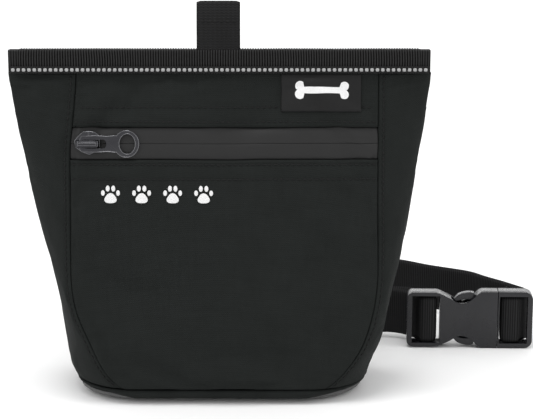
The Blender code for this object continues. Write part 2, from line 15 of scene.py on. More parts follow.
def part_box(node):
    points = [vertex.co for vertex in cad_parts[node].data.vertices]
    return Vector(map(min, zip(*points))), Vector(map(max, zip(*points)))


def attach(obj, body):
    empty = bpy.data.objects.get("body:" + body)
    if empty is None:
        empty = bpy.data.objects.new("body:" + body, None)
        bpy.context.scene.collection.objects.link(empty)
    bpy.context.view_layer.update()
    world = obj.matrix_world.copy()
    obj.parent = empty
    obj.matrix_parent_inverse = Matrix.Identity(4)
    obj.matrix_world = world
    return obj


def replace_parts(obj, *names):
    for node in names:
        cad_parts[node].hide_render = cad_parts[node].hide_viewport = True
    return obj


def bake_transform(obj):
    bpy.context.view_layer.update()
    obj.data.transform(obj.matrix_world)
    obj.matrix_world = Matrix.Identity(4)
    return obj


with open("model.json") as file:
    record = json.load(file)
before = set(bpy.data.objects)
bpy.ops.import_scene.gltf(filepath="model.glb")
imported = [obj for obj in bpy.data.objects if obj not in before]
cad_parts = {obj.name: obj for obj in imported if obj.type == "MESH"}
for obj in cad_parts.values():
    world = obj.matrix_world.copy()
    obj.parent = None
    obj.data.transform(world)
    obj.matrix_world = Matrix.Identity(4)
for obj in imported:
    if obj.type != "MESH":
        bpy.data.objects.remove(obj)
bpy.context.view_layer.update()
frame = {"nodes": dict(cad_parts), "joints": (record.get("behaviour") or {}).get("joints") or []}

# ---------------------------------------------------------------- sizes, most of them read from the frame

BIND_Z, TOP_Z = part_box("front_binding")[0].z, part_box("front_binding")[1].z
TOP_HALF_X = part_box("rear_binding")[1].x
BASE_HALF_X, BASE_HALF_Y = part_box("base_panel")[1].x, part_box("base_panel")[1].y
GAP = 0.0003
SEAM_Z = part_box("base_panel")[1].z + GAP
MOUTH_HALF_Y = 0.0034
SIDE_BOW = 0.26
WALL = 0.0014
PANEL_HALF, PANEL_SHIFT = 0.072, 0.002
CORNER_Z, CORNER_SPAN = 0.064, 0.060
CORNER_FLAT, CORNER_SEAM = 0.044, 0.034
ZIP_LOW, ZIP_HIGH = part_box("zip_tape_lower")[0].z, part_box("zip_tape_upper")[1].z
ZIP_MIDDLE = (ZIP_LOW + ZIP_HIGH) / 2
ZIP_HALF = 0.0712
LEAN = math.atan2(BASE_HALF_Y - MOUTH_HALF_Y, BIND_Z - SEAM_Z)
LABEL_LOW, LABEL_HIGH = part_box("label_patch")
TAB_LOW, TAB_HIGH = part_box("pull_tab")
TAB_MIDDLE = (TAB_LOW + TAB_HIGH) / 2
WEB, WEB_THICK = 0.0242, 0.0014
SOCKET_LOW, SOCKET_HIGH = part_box("buckle_socket")
PLUG_LOW, PLUG_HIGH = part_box("buckle_plug")
RELEASE = next(j for j in frame["joints"] if j["name"] == "buckle_release")["axis"]
BUCKLE_YAW = math.atan2(RELEASE[1], RELEASE[0])
BUCKLE_AT = Vector((
    (SOCKET_LOW.x + PLUG_HIGH.x) / 2, (PLUG_LOW.y + SOCKET_HIGH.y) / 2, (PLUG_LOW.z + PLUG_HIGH.z) / 2,
))
BUCKLE_HALF, BUCKLE_HEIGHT, BUCKLE_THICK = 0.0319, PLUG_HIGH.z - PLUG_LOW.z, 0.0074

UV_NAME = "cloth"
TAU = 2 * math.pi
SHARP_ANGLE = math.radians(32)
RIB_PITCH, STRAP_PITCH = 0.0012, 0.00112


# ---------------------------------------------------------------- camera, lights and floor

def add_object(name, data):
    item = bpy.data.objects.new(name, data)
    bpy.context.scene.collection.objects.link(item)
    return item


def make_camera():
    data = bpy.data.cameras.new("camera")
    data.lens = 141.8
    camera = add_object("camera", data)
    aim = Vector((0.0219, 0.0023, 0.0872))
    camera.location = (0.0216, -0.9613, 0.3546)
    camera.rotation_euler = (aim - camera.location).to_track_quat("-Z", "Y").to_euler()
    bpy.context.scene.camera = camera


def make_light(name, place, size, power, aim=(0.0, 0.0, 0.09)):
    data = bpy.data.lights.new(name, "AREA")
    data.shape = "RECTANGLE"
    data.size, data.size_y = size
    data.energy = power
    light = add_object(name, data)
    light.location = place
    light.rotation_euler = (Vector(aim) - Vector(place)).to_track_quat("-Z", "Y").to_euler()


def make_studio():
    bpy.context.scene.view_settings.view_transform = "Standard"
    world = bpy.data.worlds.new("studio")
    world.use_nodes = True
    bpy.context.scene.world = world
    background = world.node_tree.nodes["Background"]
    background.inputs["Color"].default_value = (1.0, 1.0, 1.0, 1.0)
    background.inputs["Strength"].default_value = 0.95
    make_light("overhead", (-0.10, -0.14, 1.30), (0.60, 0.60), 7.5)
    make_light("backdrop", (0.05, 1.60, 0.50), (1.80, 0.26), 4.5)
    make_light("left_wing", (-1.10, -0.45, 0.55), (0.5, 1.1), 3.0)
    make_light("right_wing", (1.15, -0.25, 0.50), (0.4, 1.0), 3.0)
    bpy.ops.mesh.primitive_plane_add(size=12.0, location=(0.0, 0.0, -0.0002))
    floor = bpy.context.object
    floor.name = "floor"
    material, shader = make_material("floor", (0.87, 0.87, 0.87), 0.6)
    shader.inputs["Specular IOR Level"].default_value = 0.2
    floor.data.materials.append(material)


# ---------------------------------------------------------------- materials

def make_material(name, colour, roughness, metallic=0.0, specular=0.5):
    material = bpy.data.materials.new(name)
    material.use_nodes = True
    shader = material.node_tree.nodes["Principled BSDF"]
    shader.inputs["Base Color"].default_value = (*colour, 1.0)
    shader.inputs["Roughness"].default_value = roughness
    shader.inputs["Metallic"].default_value = metallic
    shader.inputs["Specular IOR Level"].default_value = specular
    return material, shader


def add_node(material, kind, inputs=(), **settings):
    """A new node with its settings, and its inputs linked or set. Inputs are pairs of socket and value."""
    node = material.node_tree.nodes.new(kind)
    for key, value in settings.items():
        setattr(node, key, value)
    for key, value in inputs:
        if isinstance(value, bpy.types.NodeSocket):
            material.node_tree.links.new(value, node.inputs[key])
        else:
            node.inputs[key].default_value = value
    return node


def maths(material, operation, a, b=0.0):
    return add_node(material, "ShaderNodeMath", [(0, a), (1, b)], operation=operation).outputs[0]


def blend_of(material, *parts):
    """The sum of some values, each times its share. Parts are pairs of value and share."""
    total = 0.0
    for value, share in parts:
        total = maths(material, "ADD", total, maths(material, "MULTIPLY", value, share))
    return total


def ripple(material, along, pitch):
    """A wave between -1 and 1 with one crest each pitch."""
    return maths(material, "SINE", maths(material, "MULTIPLY", along, TAU / pitch))


def ridges(material, along, pitch):
    """The same wave between 0 and 1."""
    return maths(material, "MULTIPLY", maths(material, "ADD", ripple(material, along, pitch), 1.0), 0.5)


def speckle(material, place, scale, stretch=(1.0, 1.0, 1.0), detail=3.0):
    """Noise between 0 and 1, drawn out by the stretch."""
    mapping = add_node(material, "ShaderNodeMapping", [("Vector", place), ("Scale", stretch)])
    made = add_node(
        material, "ShaderNodeTexNoise",
        [("Vector", mapping.outputs[0]), ("Scale", scale), ("Detail", detail), ("Roughness", 0.6)],
    )
    return made.outputs[0]


def ramp(material, factor, low, high, start=0.3, end=0.7):
    node = add_node(material, "ShaderNodeValToRGB", [(0, factor)])
    node.color_ramp.elements[0].position = start
    node.color_ramp.elements[1].position = end
    node.color_ramp.elements[0].color = (*low, 1.0)
    node.color_ramp.elements[1].color = (*high, 1.0)
    return node.outputs[0]


def finish_surface(material, shader, colour, height, depth):
    """Colour and relief: height runs from 0 to 1 over the depth in metres."""
    material.node_tree.links.new(colour, shader.inputs["Base Color"])
    bump = add_node(material, "ShaderNodeBump", [("Height", height), ("Distance", depth), ("Strength", 1.0)])
    material.node_tree.links.new(bump.outputs[0], shader.inputs["Normal"])


def woven(name, dark, light, pitch, depth, roughness, slub=0.5, specular=0.14):
    """Woven cloth in the UV map's metres: crossing threads, uneven thread tone and soft larger blotches."""
    material, shader = make_material(name, dark, roughness, specular=specular)
    uv = add_node(material, "ShaderNodeUVMap", uv_map=UV_NAME).outputs[0]
    split = add_node(material, "ShaderNodeSeparateXYZ", [(0, uv)])
    warp = ripple(material, split.outputs[0], pitch[0])
    weft = ripple(material, split.outputs[1], pitch[1])
    cross = maths(material, "MULTIPLY", warp, weft)
    across = speckle(material, uv, 1.0 / (2 * pitch[1]), (0.12, 1.0, 1.0))
    upward = speckle(material, uv, 1.0 / (2 * pitch[0]), (1.0, 0.12, 1.0))
    threads = maths(material, "ADD", across, upward)
    height = blend_of(material, (cross, 0.25), (weft, 0.12), (threads, slub))
    blotch = speckle(material, uv, 55.0, detail=2.0)
    tone = blend_of(material, (height, 0.6), (blotch, 0.4))
    finish_surface(material, shader, ramp(material, tone, dark, light, 0.25, 0.85), height, depth)
    return material


def moulded(name, dark, light, roughness, depth=0.00006, metallic=0.0, specular=0.5, grain=1400.0):
    """Moulded plastic or painted metal: a fine grain, and a little unevenness in tone and gloss."""
    material, shader = make_material(name, dark, roughness, metallic, specular)
    place = add_node(material, "ShaderNodeTexCoord").outputs["Object"]
    fine = speckle(material, place, grain, detail=4.0)
    broad = speckle(material, place, 90.0, detail=2.0)
    finish_surface(material, shader, ramp(material, broad, dark, light), fine, depth)
    gloss = add_node(
        material, "ShaderNodeMapRange",
        [("Value", broad), ("To Min", roughness * 0.85), ("To Max", roughness * 1.2)],
    )
    material.node_tree.links.new(gloss.outputs[0], shader.inputs["Roughness"])
    return material


def twisted(name, dark, light, pitch, depth, roughness=0.6):
    """Sewing yarn: fine slanting strands."""
    material, shader = make_material(name, light, roughness, specular=0.4)
    place = add_node(material, "ShaderNodeTexCoord").outputs["Object"]
    split = add_node(material, "ShaderNodeSeparateXYZ", [(0, place)])
    slant = blend_of(material, (split.outputs[0], 1.0), (split.outputs[2], 0.8))
    strands = ridges(material, slant, pitch)
    fuzz = speckle(material, place, 900.0, detail=3.0)
    height = blend_of(material, (strands, 0.7), (fuzz, 0.3))
    finish_surface(material, shader, ramp(material, height, dark, light, 0.1, 0.6), height, depth)
    return material


def ribbed(name, groove_shade, crest_highlight, pitch, roughness):
    """Grosgrain ribs along the UV map's first direction, with loose threads' tone. Each rib runs from painted
    shade, dark in its groove, to a painted highlight, pale on its crest.
    """
    material, shader = make_material(name, crest_highlight, roughness, specular=0.12)
    uv = add_node(material, "ShaderNodeUVMap", uv_map=UV_NAME).outputs[0]
    split = add_node(material, "ShaderNodeSeparateXYZ", [(0, uv)])
    quarter = maths(material, "ADD", split.outputs[0], pitch / 4)
    rib = ridges(material, quarter, pitch)
    threads = speckle(material, uv, 1.0 / pitch, (0.35, 1.4, 1.0))
    # Painted light and shade: the tone follows the ribs, dark in the grooves and pale on the crests.
    tone = maths(material, "MULTIPLY", rib, maths(material, "ADD", threads, 0.55))
    finish_surface(material, shader, ramp(material, tone, groove_shade, crest_highlight, 0.12, 0.80), threads, 0.00010)
    return material


def make_materials():
    grey = lambda value, blue=1.0: (value, value, value * blue)
    return {
        "fabric": woven(
            "fabric", (0.0072, 0.0085, 0.0078), (0.0132, 0.0152, 0.0145),
            pitch=(0.0009, 0.0010), depth=0.00022, roughness=0.82, slub=0.55,
        ),
        "lining": woven("lining", grey(0.012), grey(0.019, 1.06), (0.0005, 0.0005), 0.00008, 0.6, 0.3),
        # The binding's ribs carry painted shade in their grooves and a painted highlight on their crests.
        "binding": ribbed("binding", grey(0.0002), grey(0.0240), RIB_PITCH, 0.80),
        "webbing": woven("webbing", grey(0.0078), grey(0.0165, 1.05), (0.0011, 0.0021), 0.00030, 0.75, 0.35),
        # The strap's ribs, too, carry painted shade in their grooves and a painted highlight on their crests.
        "strap": ribbed("strap", grey(0.0040), grey(0.0190, 1.04), STRAP_PITCH, 0.75),
        "tape": woven("tape", grey(0.0145), grey(0.0180, 1.04), (0.0006, 0.0006), 0.00002, 0.5, 0.2, 0.25),
        "label": woven("label", grey(0.0075), grey(0.0105, 1.04), (0.0005, 0.0005), 0.00006, 0.6, 0.3, 0.20),
        # The thread is black; making it far darker than the cloth is painted shade standing in for the
        # dimples the stitches sink into.
        "thread": twisted("thread", grey(0.0004), grey(0.0020), 0.0003, 0.00005, 0.85),
        "white_thread": twisted("white_thread", grey(0.55), grey(0.86), 0.00045, 0.00010),
        "reflective": twisted("reflective", grey(0.24), grey(0.40), 0.0004, 0.00008, 0.45),
        "plastic": moulded("plastic", grey(0.0075, 1.25), grey(0.0100, 1.25), 0.27, specular=0.42),
        "gunmetal": moulded("gunmetal", grey(0.050, 1.10), grey(0.062, 1.08), 0.16, 0.00003, 1.0),
        # The second gunmetal is a brighter copy of the first: a painted highlight for the slider's rounded
        # edges and the pull's rims.
        "gunmetal_painted_highlight": moulded("gunmetal_painted_highlight", grey(0.115, 1.06), grey(0.150, 1.05), 0.20, 0.00002, 1.0),
        "steel": moulded("steel", grey(0.50, 1.04), grey(0.60, 1.03), 0.28, 0.00003, 1.0),
        "board": moulded("board", grey(0.06), grey(0.09), 0.6),
    }


# ---------------------------------------------------------------- meshes

def make_object(name, vertices, faces, materials, uvs=None, kinds=None):
    """A smooth mesh. uvs hold one place for each vertex, and kinds one material number for each face."""
    mesh = bpy.data.meshes.new(name)
    mesh.from_pydata([tuple(v) for v in vertices], [], [tuple(int(i) for i in f) for f in faces])
    for material in materials:
        mesh.materials.append(material)
    if kinds is not None:
        mesh.polygons.foreach_set("material_index", np.asarray(kinds, np.int32))
    if uvs is not None:
        index = np.empty(len(mesh.loops), np.int32)
        mesh.loops.foreach_get("vertex_index", index)
        layer = mesh.uv_layers.new(name=UV_NAME)
        layer.data.foreach_set("uv", np.asarray(uvs, np.float32)[index].ravel())
    mesh.shade_smooth()
    mesh.validate()
    return add_object(name, mesh)


def quads(grid):
    """The faces of a grid of vertex numbers."""
    corners = (grid[:-1, :-1], grid[:-1, 1:], grid[1:, 1:], grid[1:, :-1])
    return np.stack(corners, axis=-1).reshape(-1, 4)


def sheet_object(name, outer, inner, uvs, materials):
    """A closed sheet between two grids, with the second material on its inner face."""
    rows, columns = outer.shape[:2]
    grid = np.arange(rows * columns).reshape(rows, columns)
    under = grid + rows * columns
    edge = np.concatenate([grid[0, :-1], grid[:-1, -1], grid[-1, :0:-1], grid[:0:-1, 0]])
    after = np.roll(edge, -1)
    rim = np.stack((after, edge, edge + rows * columns, after + rows * columns), axis=-1)
    front, back = quads(grid), quads(under)[:, ::-1]
    vertices = np.concatenate([outer.reshape(-1, 3), inner.reshape(-1, 3)])
    kinds = [0] * len(front) + [len(materials) - 1] * len(back) + [0] * len(rim)
    flat = uvs.reshape(-1, 2)
    return make_object(
        name, vertices, np.concatenate([front, back, rim]), materials, np.concatenate([flat, flat]), kinds
    )


def loft_object(name, rings, along, around, materials, closed=False):
    """Rings of equal length joined in turn. along and around are the UV places of the rings and points."""
    count, size = len(rings), len(rings[0])
    grid = np.arange(count * size).reshape(count, size)
    grid = np.concatenate([grid, grid[:, :1]], axis=1)
    if closed:
        grid = np.concatenate([grid, grid[:1]], axis=0)
    faces = quads(grid).tolist()
    if not closed:
        faces.append(list(reversed(range(size))))
        faces.append(list(range((count - 1) * size, count * size)))
    vertices = np.array([list(p) for ring in rings for p in ring])
    uvs = np.array([(u, v) for u in along for v in around])
    item = make_object(name, vertices, faces, materials, uvs)
    outward(item)
    return item


def outward(item):
    """Turns a closed mesh's faces to the outside."""
    bm = bmesh.new()
    bm.from_mesh(item.data)
    bmesh.ops.recalc_face_normals(bm, faces=bm.faces)
    bm.to_mesh(item.data)
    bm.free()


def smooth_path(points, step):
    """Points about one step apart on a Catmull-Rom curve through the given points."""
    points = [Vector(p) for p in points]
    ends = [2 * points[0] - points[1]] + points + [2 * points[-1] - points[-2]]
    path = []
    for a, b, c, d in zip(ends, ends[1:], ends[2:], ends[3:]):
        steps = max(1, round((c - b).length / step))
        for i in range(steps):
            t = i / steps
            path.append(0.5 * (
                2 * b + (c - a) * t
                + (2 * a - 5 * b + 4 * c - d) * t * t
                + (3 * b - 3 * c + d - a) * t ** 3
            ))
    path.append(points[-1])
    return path


def ribbon(name, path, across, width, thickness, material, rib=None):
    """Webbing along the path, thin at its edges. rib(distance along) is added to its half thickness."""
    steps = 12
    shares = [2 * i / steps - 1 for i in range(steps + 1)]
    top = [(a, math.sqrt(max(0.0, 1 - abs(a) ** 9))) for a in shares]
    section = top + [(a, -b) for a, b in reversed(top[1:-1])]
    rings, along, reach = [], [], 0.0
    for i, point in enumerate(path):
        before, after = path[max(i - 1, 0)], path[min(i + 1, len(path) - 1)]
        direction = (after - before).normalized()
        wide = (across - direction * across.dot(direction)).normalized()
        deep = direction.cross(wide)
        if i:
            reach += (point - path[i - 1]).length
        half = thickness / 2 + (rib(reach) if rib else 0.0)
        rings.append([point + wide * (a * width / 2) + deep * (b * half) for a, b in section])
        along.append(reach)
    return loft_object(name, rings, along, [a * width / 2 for a, _ in section], [material])


def paint(mesh, material):
    """Gives the whole mesh one material."""
    mesh.materials.clear()
    mesh.materials.append(material)


def closed_curve(name, loops, dimensions):
    """A curve object's data with one closed line for each loop."""
    curve = bpy.data.curves.new(name, "CURVE")
    curve.dimensions = dimensions
    for loop in loops:
        spline = curve.splines.new("POLY")
        spline.points.add(len(loop) - 1)
        for point, (x, y) in zip(spline.points, loop):
            point.co = (x, y, 0.0, 1.0)
        spline.use_cyclic_u = True
    return curve


def beads(name, loops, radius, matrix, material):
    """Round raised rims along closed loops."""
    curve = closed_curve(name, loops, "3D")
    curve.bevel_depth = radius
    curve.bevel_resolution = 2
    mesh = evaluated_mesh(add_object(name, curve))
    mesh.transform(matrix)
    paint(mesh, material)
    mesh.shade_smooth()
    return add_object(name, mesh)


def flat_plate(name, loops, half_thickness, bevel, matrix, material):
    """A flat plate with rounded edges: the first loop is its edge, the others are its holes."""
    curve = closed_curve(name, loops, "2D")
    curve.fill_mode = "BOTH"
    curve.extrude = half_thickness
    mesh = evaluated_mesh(add_object(name, curve))
    bm = bmesh.new()
    bm.from_mesh(mesh)
    bmesh.ops.remove_doubles(bm, verts=bm.verts, dist=1e-6)
    bmesh.ops.dissolve_limit(bm, angle_limit=math.radians(1), verts=bm.verts, edges=bm.edges)
    bmesh.ops.recalc_face_normals(bm, faces=bm.faces)
    bm.to_mesh(mesh)
    bm.free()
    item = add_object(name, mesh)
    rounding = item.modifiers.new("round", "BEVEL")
    rounding.width = bevel
    rounding.segments = 3
    rounding.limit_method = "ANGLE"
    rounding.angle_limit = math.radians(50)
    mesh = evaluated_mesh(item)
    mesh.transform(matrix)
    paint(mesh, material)
    mesh.shade_smooth()
    mesh.set_sharp_from_angle(angle=SHARP_ANGLE)
    return add_object(name, mesh)


def evaluated_mesh(item):
    """The item's mesh with its modifiers applied. The item itself is removed."""
    bpy.context.view_layer.update()
    mesh = bpy.data.meshes.new_from_object(item.evaluated_get(bpy.context.evaluated_depsgraph_get()))
    bpy.data.objects.remove(item, do_unlink=True)
    return mesh


def combine(item, others, operation):
    """Joins the others to the item, or cuts them from it. The others are used up."""
    for other in others:
        modifier = item.modifiers.new("combine", "BOOLEAN")
        modifier.operation = operation
        modifier.object = other
    name, material = item.name, item.data.materials[0]
    mesh = evaluated_mesh(item)
    for other in others:
        bpy.data.objects.remove(other, do_unlink=True)
    paint(mesh, material)
    mesh.set_sharp_from_angle(angle=SHARP_ANGLE)
    return add_object(name, mesh)


def block(low, high, bevel, matrix, material):
    """A box with rounded edges, given by its lowest and highest corners."""
    (x0, y0, z0), (x1, y1, z1) = low, high
    outline = [(x0, z0), (x1, z0), (x1, z1), (x0, z1)]
    place = matrix @ Matrix.Translation((0.0, (y0 + y1) / 2, 0.0)) @ UPRIGHT
    return flat_plate("block", [outline], (y1 - y0) / 2, bevel, place, material)


def paint_edge_highlight(item, facing, material):
    """Gives a plate's rounded edges a second material, brighter than its faces and its sides: a painted
    highlight on the bevels.
    """
    item.data.materials.append(material)
    for polygon in item.data.polygons:
        if 0.25 < abs(polygon.normal.dot(facing)) < 0.98:
            polygon.material_index = 1


def arc(cx, cy, rx, ry, start, end, steps):
    """Points on an arc of an ellipse, from one angle to the other in degrees, both ends included."""
    points = []
    for i in range(steps + 1):
        angle = math.radians(start + (end - start) * i / steps)
        points.append((cx + rx * math.cos(angle), cy + ry * math.sin(angle)))
    return points


UPRIGHT = Matrix.Rotation(math.radians(90), 4, "X")


# ---------------------------------------------------------------- the pouch's plan, as in the CAD

def rise(z):
    return (z - SEAM_Z) / (BIND_Z - SEAM_Z)


def half_width(z):
    t = rise(z)
    return BASE_HALF_X + (TOP_HALF_X - BASE_HALF_X) * t * (1 + SIDE_BOW * (1 - t))


def half_depth(z):
    return BASE_HALF_Y + (MOUTH_HALF_Y - BASE_HALF_Y) * rise(z)


def corner(z):
    u = min(max((CORNER_Z - z) / CORNER_SPAN, 0.0), 1.0)
    return 1 - math.sqrt(1 - u * u)


def flat_half(z):
    return PANEL_HALF - CORNER_FLAT * corner(z)


def seam_half(z):
    return PANEL_HALF - CORNER_SEAM * corner(z)


# ---------------------------------------------------------------- the sewn shell

FRONT, SIDE = 72, 36
HALF_ROUND = FRONT + SIDE
AROUND = 2 * HALF_ROUND
ROWS = 66
SHELL_TOP = BIND_Z + 0.0006
MOST_SETTLING = 0.0032
INWARD_SHARE = 0.10
SIM_FRAMES = 24

# The soft lower corners curl up and in, at the base's seam and more at the floor.
CORNER_START, CORNER_REACH = 0.023, 0.040
CURL_HEIGHT = 0.024
SEAM_UP, FLOOR_UP = 0.0011, 0.0036
SEAM_IN, FLOOR_IN_LEFT, FLOOR_IN_RIGHT = 0.0014, 0.0048, 0.0030

# The body's sides lean to the right: each hill is its push, the height of its middle, and its spread.
SIDE_REACH = 0.012
LEAN_EVEN, LEAN_MIDDLE = 0.0004, (0.0015, 0.073, 0.034)
LEAN_LEFT, LEAN_RIGHT = (0.0013, 0.047, 0.016), (-0.0011, 0.094, 0.018)
LEAN_FOOT = (-0.0012, 0.014, 0.010)
SHOULDER_Z, SHOULDER_REACH = 0.110, 0.044
FLARE, FLARE_REACH = 0.0008, 0.025
LEFT_SEAM_PUSH, LEFT_SEAM_WIDTH, LEFT_SEAM_TOP = 0.0034, 0.011, 0.112
LEFT_SEAM_FOOT = (0.7, 0.028, 0.013)


def shell_point(column, z):
    """A point of the shell, so many columns round from the front's left seam, before the cloth settles."""
    half, local = divmod(column, HALF_ROUND)
    turn = -1 if half else 1
    flat, wide, seam = flat_half(z), half_width(z), seam_half(z)
    if local <= FRONT:
        x = seam * (2 * local / FRONT - 1)
        past = max(0.0, abs(x) - flat) / (wide - flat)
        share = -math.sqrt(1 - past * past)
    else:
        start = math.acos(min(1.0, (seam - flat) / (wide - flat)))
        angle = start * (2 * (local - FRONT) / SIDE - 1)
        x = flat + (wide - flat) * math.cos(angle)
        share = math.sin(angle)
    x, share = turn * x, turn * share
    return (x + PANEL_SHIFT * max(0.0, -share), half_depth(z) * share, z)


def uneven(point, size, amount):
    """A smooth random push, the same each time."""
    return amount * noise.noise(Vector(point) / size)


def settle_cloth(points, held):
    """Lets the shell's slack cloth buckle and fill a little, with its seams held. Returns the new points."""
    rows, columns = points.shape[:2]
    grid = np.arange(rows * columns).reshape(rows, columns)
    grid = np.concatenate([grid, grid[:, :1]], axis=1)
    item = make_object("shell", points.reshape(-1, 3), quads(grid), [])
    group = item.vertex_groups.new(name="held")
    for index, weight in enumerate(held.ravel()):
        if weight > 0:
            group.add([index], float(weight), "REPLACE")
    cloth = item.modifiers.new("cloth", "CLOTH")
    settings = cloth.settings
    settings.quality = 7
    settings.mass = 0.15
    settings.tension_stiffness = settings.compression_stiffness = 30.0
    settings.shear_stiffness = 8.0
    settings.bending_stiffness = 1.2
    settings.shrink_min = -0.012
    settings.use_pressure = True
    settings.uniform_pressure_force = 1.2
    settings.vertex_group_mass = "held"
    settings.effector_weights.gravity = 0.0
    cloth.collision_settings.use_collision = False
    cloth.point_cache.frame_start, cloth.point_cache.frame_end = 1, SIM_FRAMES
    scene = bpy.context.scene
    for number in range(1, SIM_FRAMES + 1):
        scene.frame_set(number)
    mesh = evaluated_mesh(item)
    settled = np.empty(rows * columns * 3)
    mesh.vertices.foreach_get("co", settled)
    scene.frame_set(1)
    return settled.reshape(rows, columns, 3)


def ease(t):
    """A smooth step from 0 to 1."""
    t = np.clip(t, 0.0, 1.0)
    return t * t * (3 - 2 * t)


def hill(place, height, middle, spread):
    """A smooth hill of the given height about its middle."""
    return height * np.exp(-(((place - middle) / spread) ** 2))


def tuck(points):
    """Places on the shell or its base after the soft lower corners have curled up and in."""
    x, y, z = (points[..., k] for k in range(3))
    corner_share = ease((np.abs(x) - CORNER_START) / CORNER_REACH)
    floor_share = 1 - np.clip(z / SEAM_Z, 0.0, 1.0)
    near_seam = (1 - floor_share) ** 4 * (1 - ease((z - SEAM_Z) / CURL_HEIGHT))
    up = SEAM_UP * near_seam * (1 - 0.6 * corner_share) + FLOOR_UP * corner_share * floor_share
    floor_in = np.where(x > 0, FLOOR_IN_RIGHT, FLOOR_IN_LEFT)
    inward = corner_share * (SEAM_IN * near_seam + floor_in * floor_share)
    flat = flat_half(SEAM_Z)
    side = x - np.clip(x, -flat, flat)
    reach = np.maximum(np.hypot(side, y), 1e-6)
    return np.stack((x - inward * side / reach, y - inward * y / reach, z + up), axis=-1)


def sway(points):
    """The body stands a little askew: halfway up, its sides lean towards the buckle."""
    x, z = points[..., 0], points[..., 2]
    seam = np.vectorize(seam_half)(z)
    share = np.clip((np.abs(x) - seam) / SIDE_REACH, 0.0, 1.0)
    lean = (LEAN_EVEN + hill(z, *LEAN_MIDDLE)) * (1 - ease((z - SHOULDER_Z) / SHOULDER_REACH))
    lean += np.where(x < 0, hill(z, *LEAN_LEFT), hill(z, *LEAN_RIGHT)) + hill(z, *LEAN_FOOT)
    flare = FLARE * ease((z - SHOULDER_Z) / FLARE_REACH)
    left_seam = hill(x, 1.0, -seam, LEFT_SEAM_WIDTH) * (points[..., 1] < 0)
    left_seam = left_seam * (ease((z - LEFT_SEAM_TOP) / SHOULDER_REACH) + hill(z, *LEFT_SEAM_FOOT))
    moved = points.copy()
    moved[..., 0] += (lean + np.sign(x) * flare) * share + LEFT_SEAM_PUSH * left_seam
    return moved


def make_skin():
    levels = np.linspace(SEAM_Z, SHELL_TOP, ROWS)
    points = np.array([[shell_point(c, z) for c in range(AROUND)] for z in levels])
    held = np.zeros((ROWS, AROUND))
    held[0], held[-2:] = 1.0, 1.0
    for seam in (0, FRONT, HALF_ROUND, HALF_ROUND + FRONT):
        held[:, seam] = 1.0
    plain = Skin(points, levels)
    push = np.array([[uneven(p, 0.035, 0.0009) for p in row] for row in points]) * (1 - held)
    start = points + plain.normals * push[..., None]
    moved = settle_cloth(start, held) - points
    outwards = np.sum(moved * plain.normals, axis=2, keepdims=True)
    moved = moved - plain.normals * np.minimum(outwards, 0.0) * (1 - INWARD_SHARE)
    distance = np.maximum(np.linalg.norm(moved, axis=2, keepdims=True), 1e-9)
    settled = points + moved / distance * MOST_SETTLING * np.tanh(distance / MOST_SETTLING)
    return Skin(tuck(sway(settled)), levels)


def spline_weights(t):
    """Catmull-Rom weights of the four grid lines about a place a share t between the middle two."""
    weights = (t * (t * (2 - t) - 1), t * t * (3 * t - 5) + 2, t * (t * (4 - 3 * t) + 1), t * t * (t - 1))
    return 0.5 * np.stack(weights, axis=-1)


class Skin:
    """The shell as a smooth surface: a column round the pouch and a height give a point on it."""

    def __init__(self, points, levels):
        self.points, self.levels = points, levels
        sideways = np.roll(points, -1, axis=1) - np.roll(points, 1, axis=1)
        normals = np.cross(sideways, np.gradient(points, axis=0))
        self.normals = normals / np.linalg.norm(normals, axis=2, keepdims=True)

    def at(self, columns, heights, lift=0.0):
        """Points lifted off the skin by so much, and the skin's outward directions there."""
        columns, heights, lift = np.broadcast_arrays(columns, heights, lift)
        shape = columns.shape
        columns, rows = columns.ravel(), np.interp(heights.ravel(), self.levels, np.arange(ROWS))
        c, r = np.floor(columns).astype(int), np.minimum(np.floor(rows).astype(int), ROWS - 2)
        near_c = (c[:, None] + np.arange(-1, 3)) % AROUND
        near_r = np.clip(r[:, None] + np.arange(-1, 3), 0, ROWS - 1)
        weight = spline_weights(rows - r)[:, :, None] * spline_weights(columns - c)[:, None, :]
        points, normals = (
            np.einsum("nrc,nrck->nk", weight, grid[near_r[:, :, None], near_c[:, None, :]])
            for grid in (self.points, self.normals)
        )
        normals /= np.linalg.norm(normals, axis=1, keepdims=True)
        points = points + normals * lift.ravel()[:, None]
        return points.reshape(*shape, 3), normals.reshape(*shape, 3)


def front_column(x, z):
    """The column of a place on the flat front."""
    return FRONT * ((x - PANEL_SHIFT) / seam_half(z) + 1) / 2


def spaced(first, last, count):
    """Values from first to last, closer together towards both ends."""
    t = np.linspace(0.0, 1.0, count + 1)
    return first + (last - first) * (0.3 * t + 0.7 * t * t * (3 - 2 * t))


def distances(points, axis):
    """How far each grid point is from the grid's first line along the axis, and from its last."""
    steps = np.linalg.norm(np.diff(points, axis=axis), axis=2)
    start = np.zeros_like(points[..., 0])
    if axis == 0:
        start[1:] = np.cumsum(steps, axis=0)
        return start, start[-1:] - start
    start[:, 1:] = np.cumsum(steps, axis=1)
    return start, start[:, -1:] - start


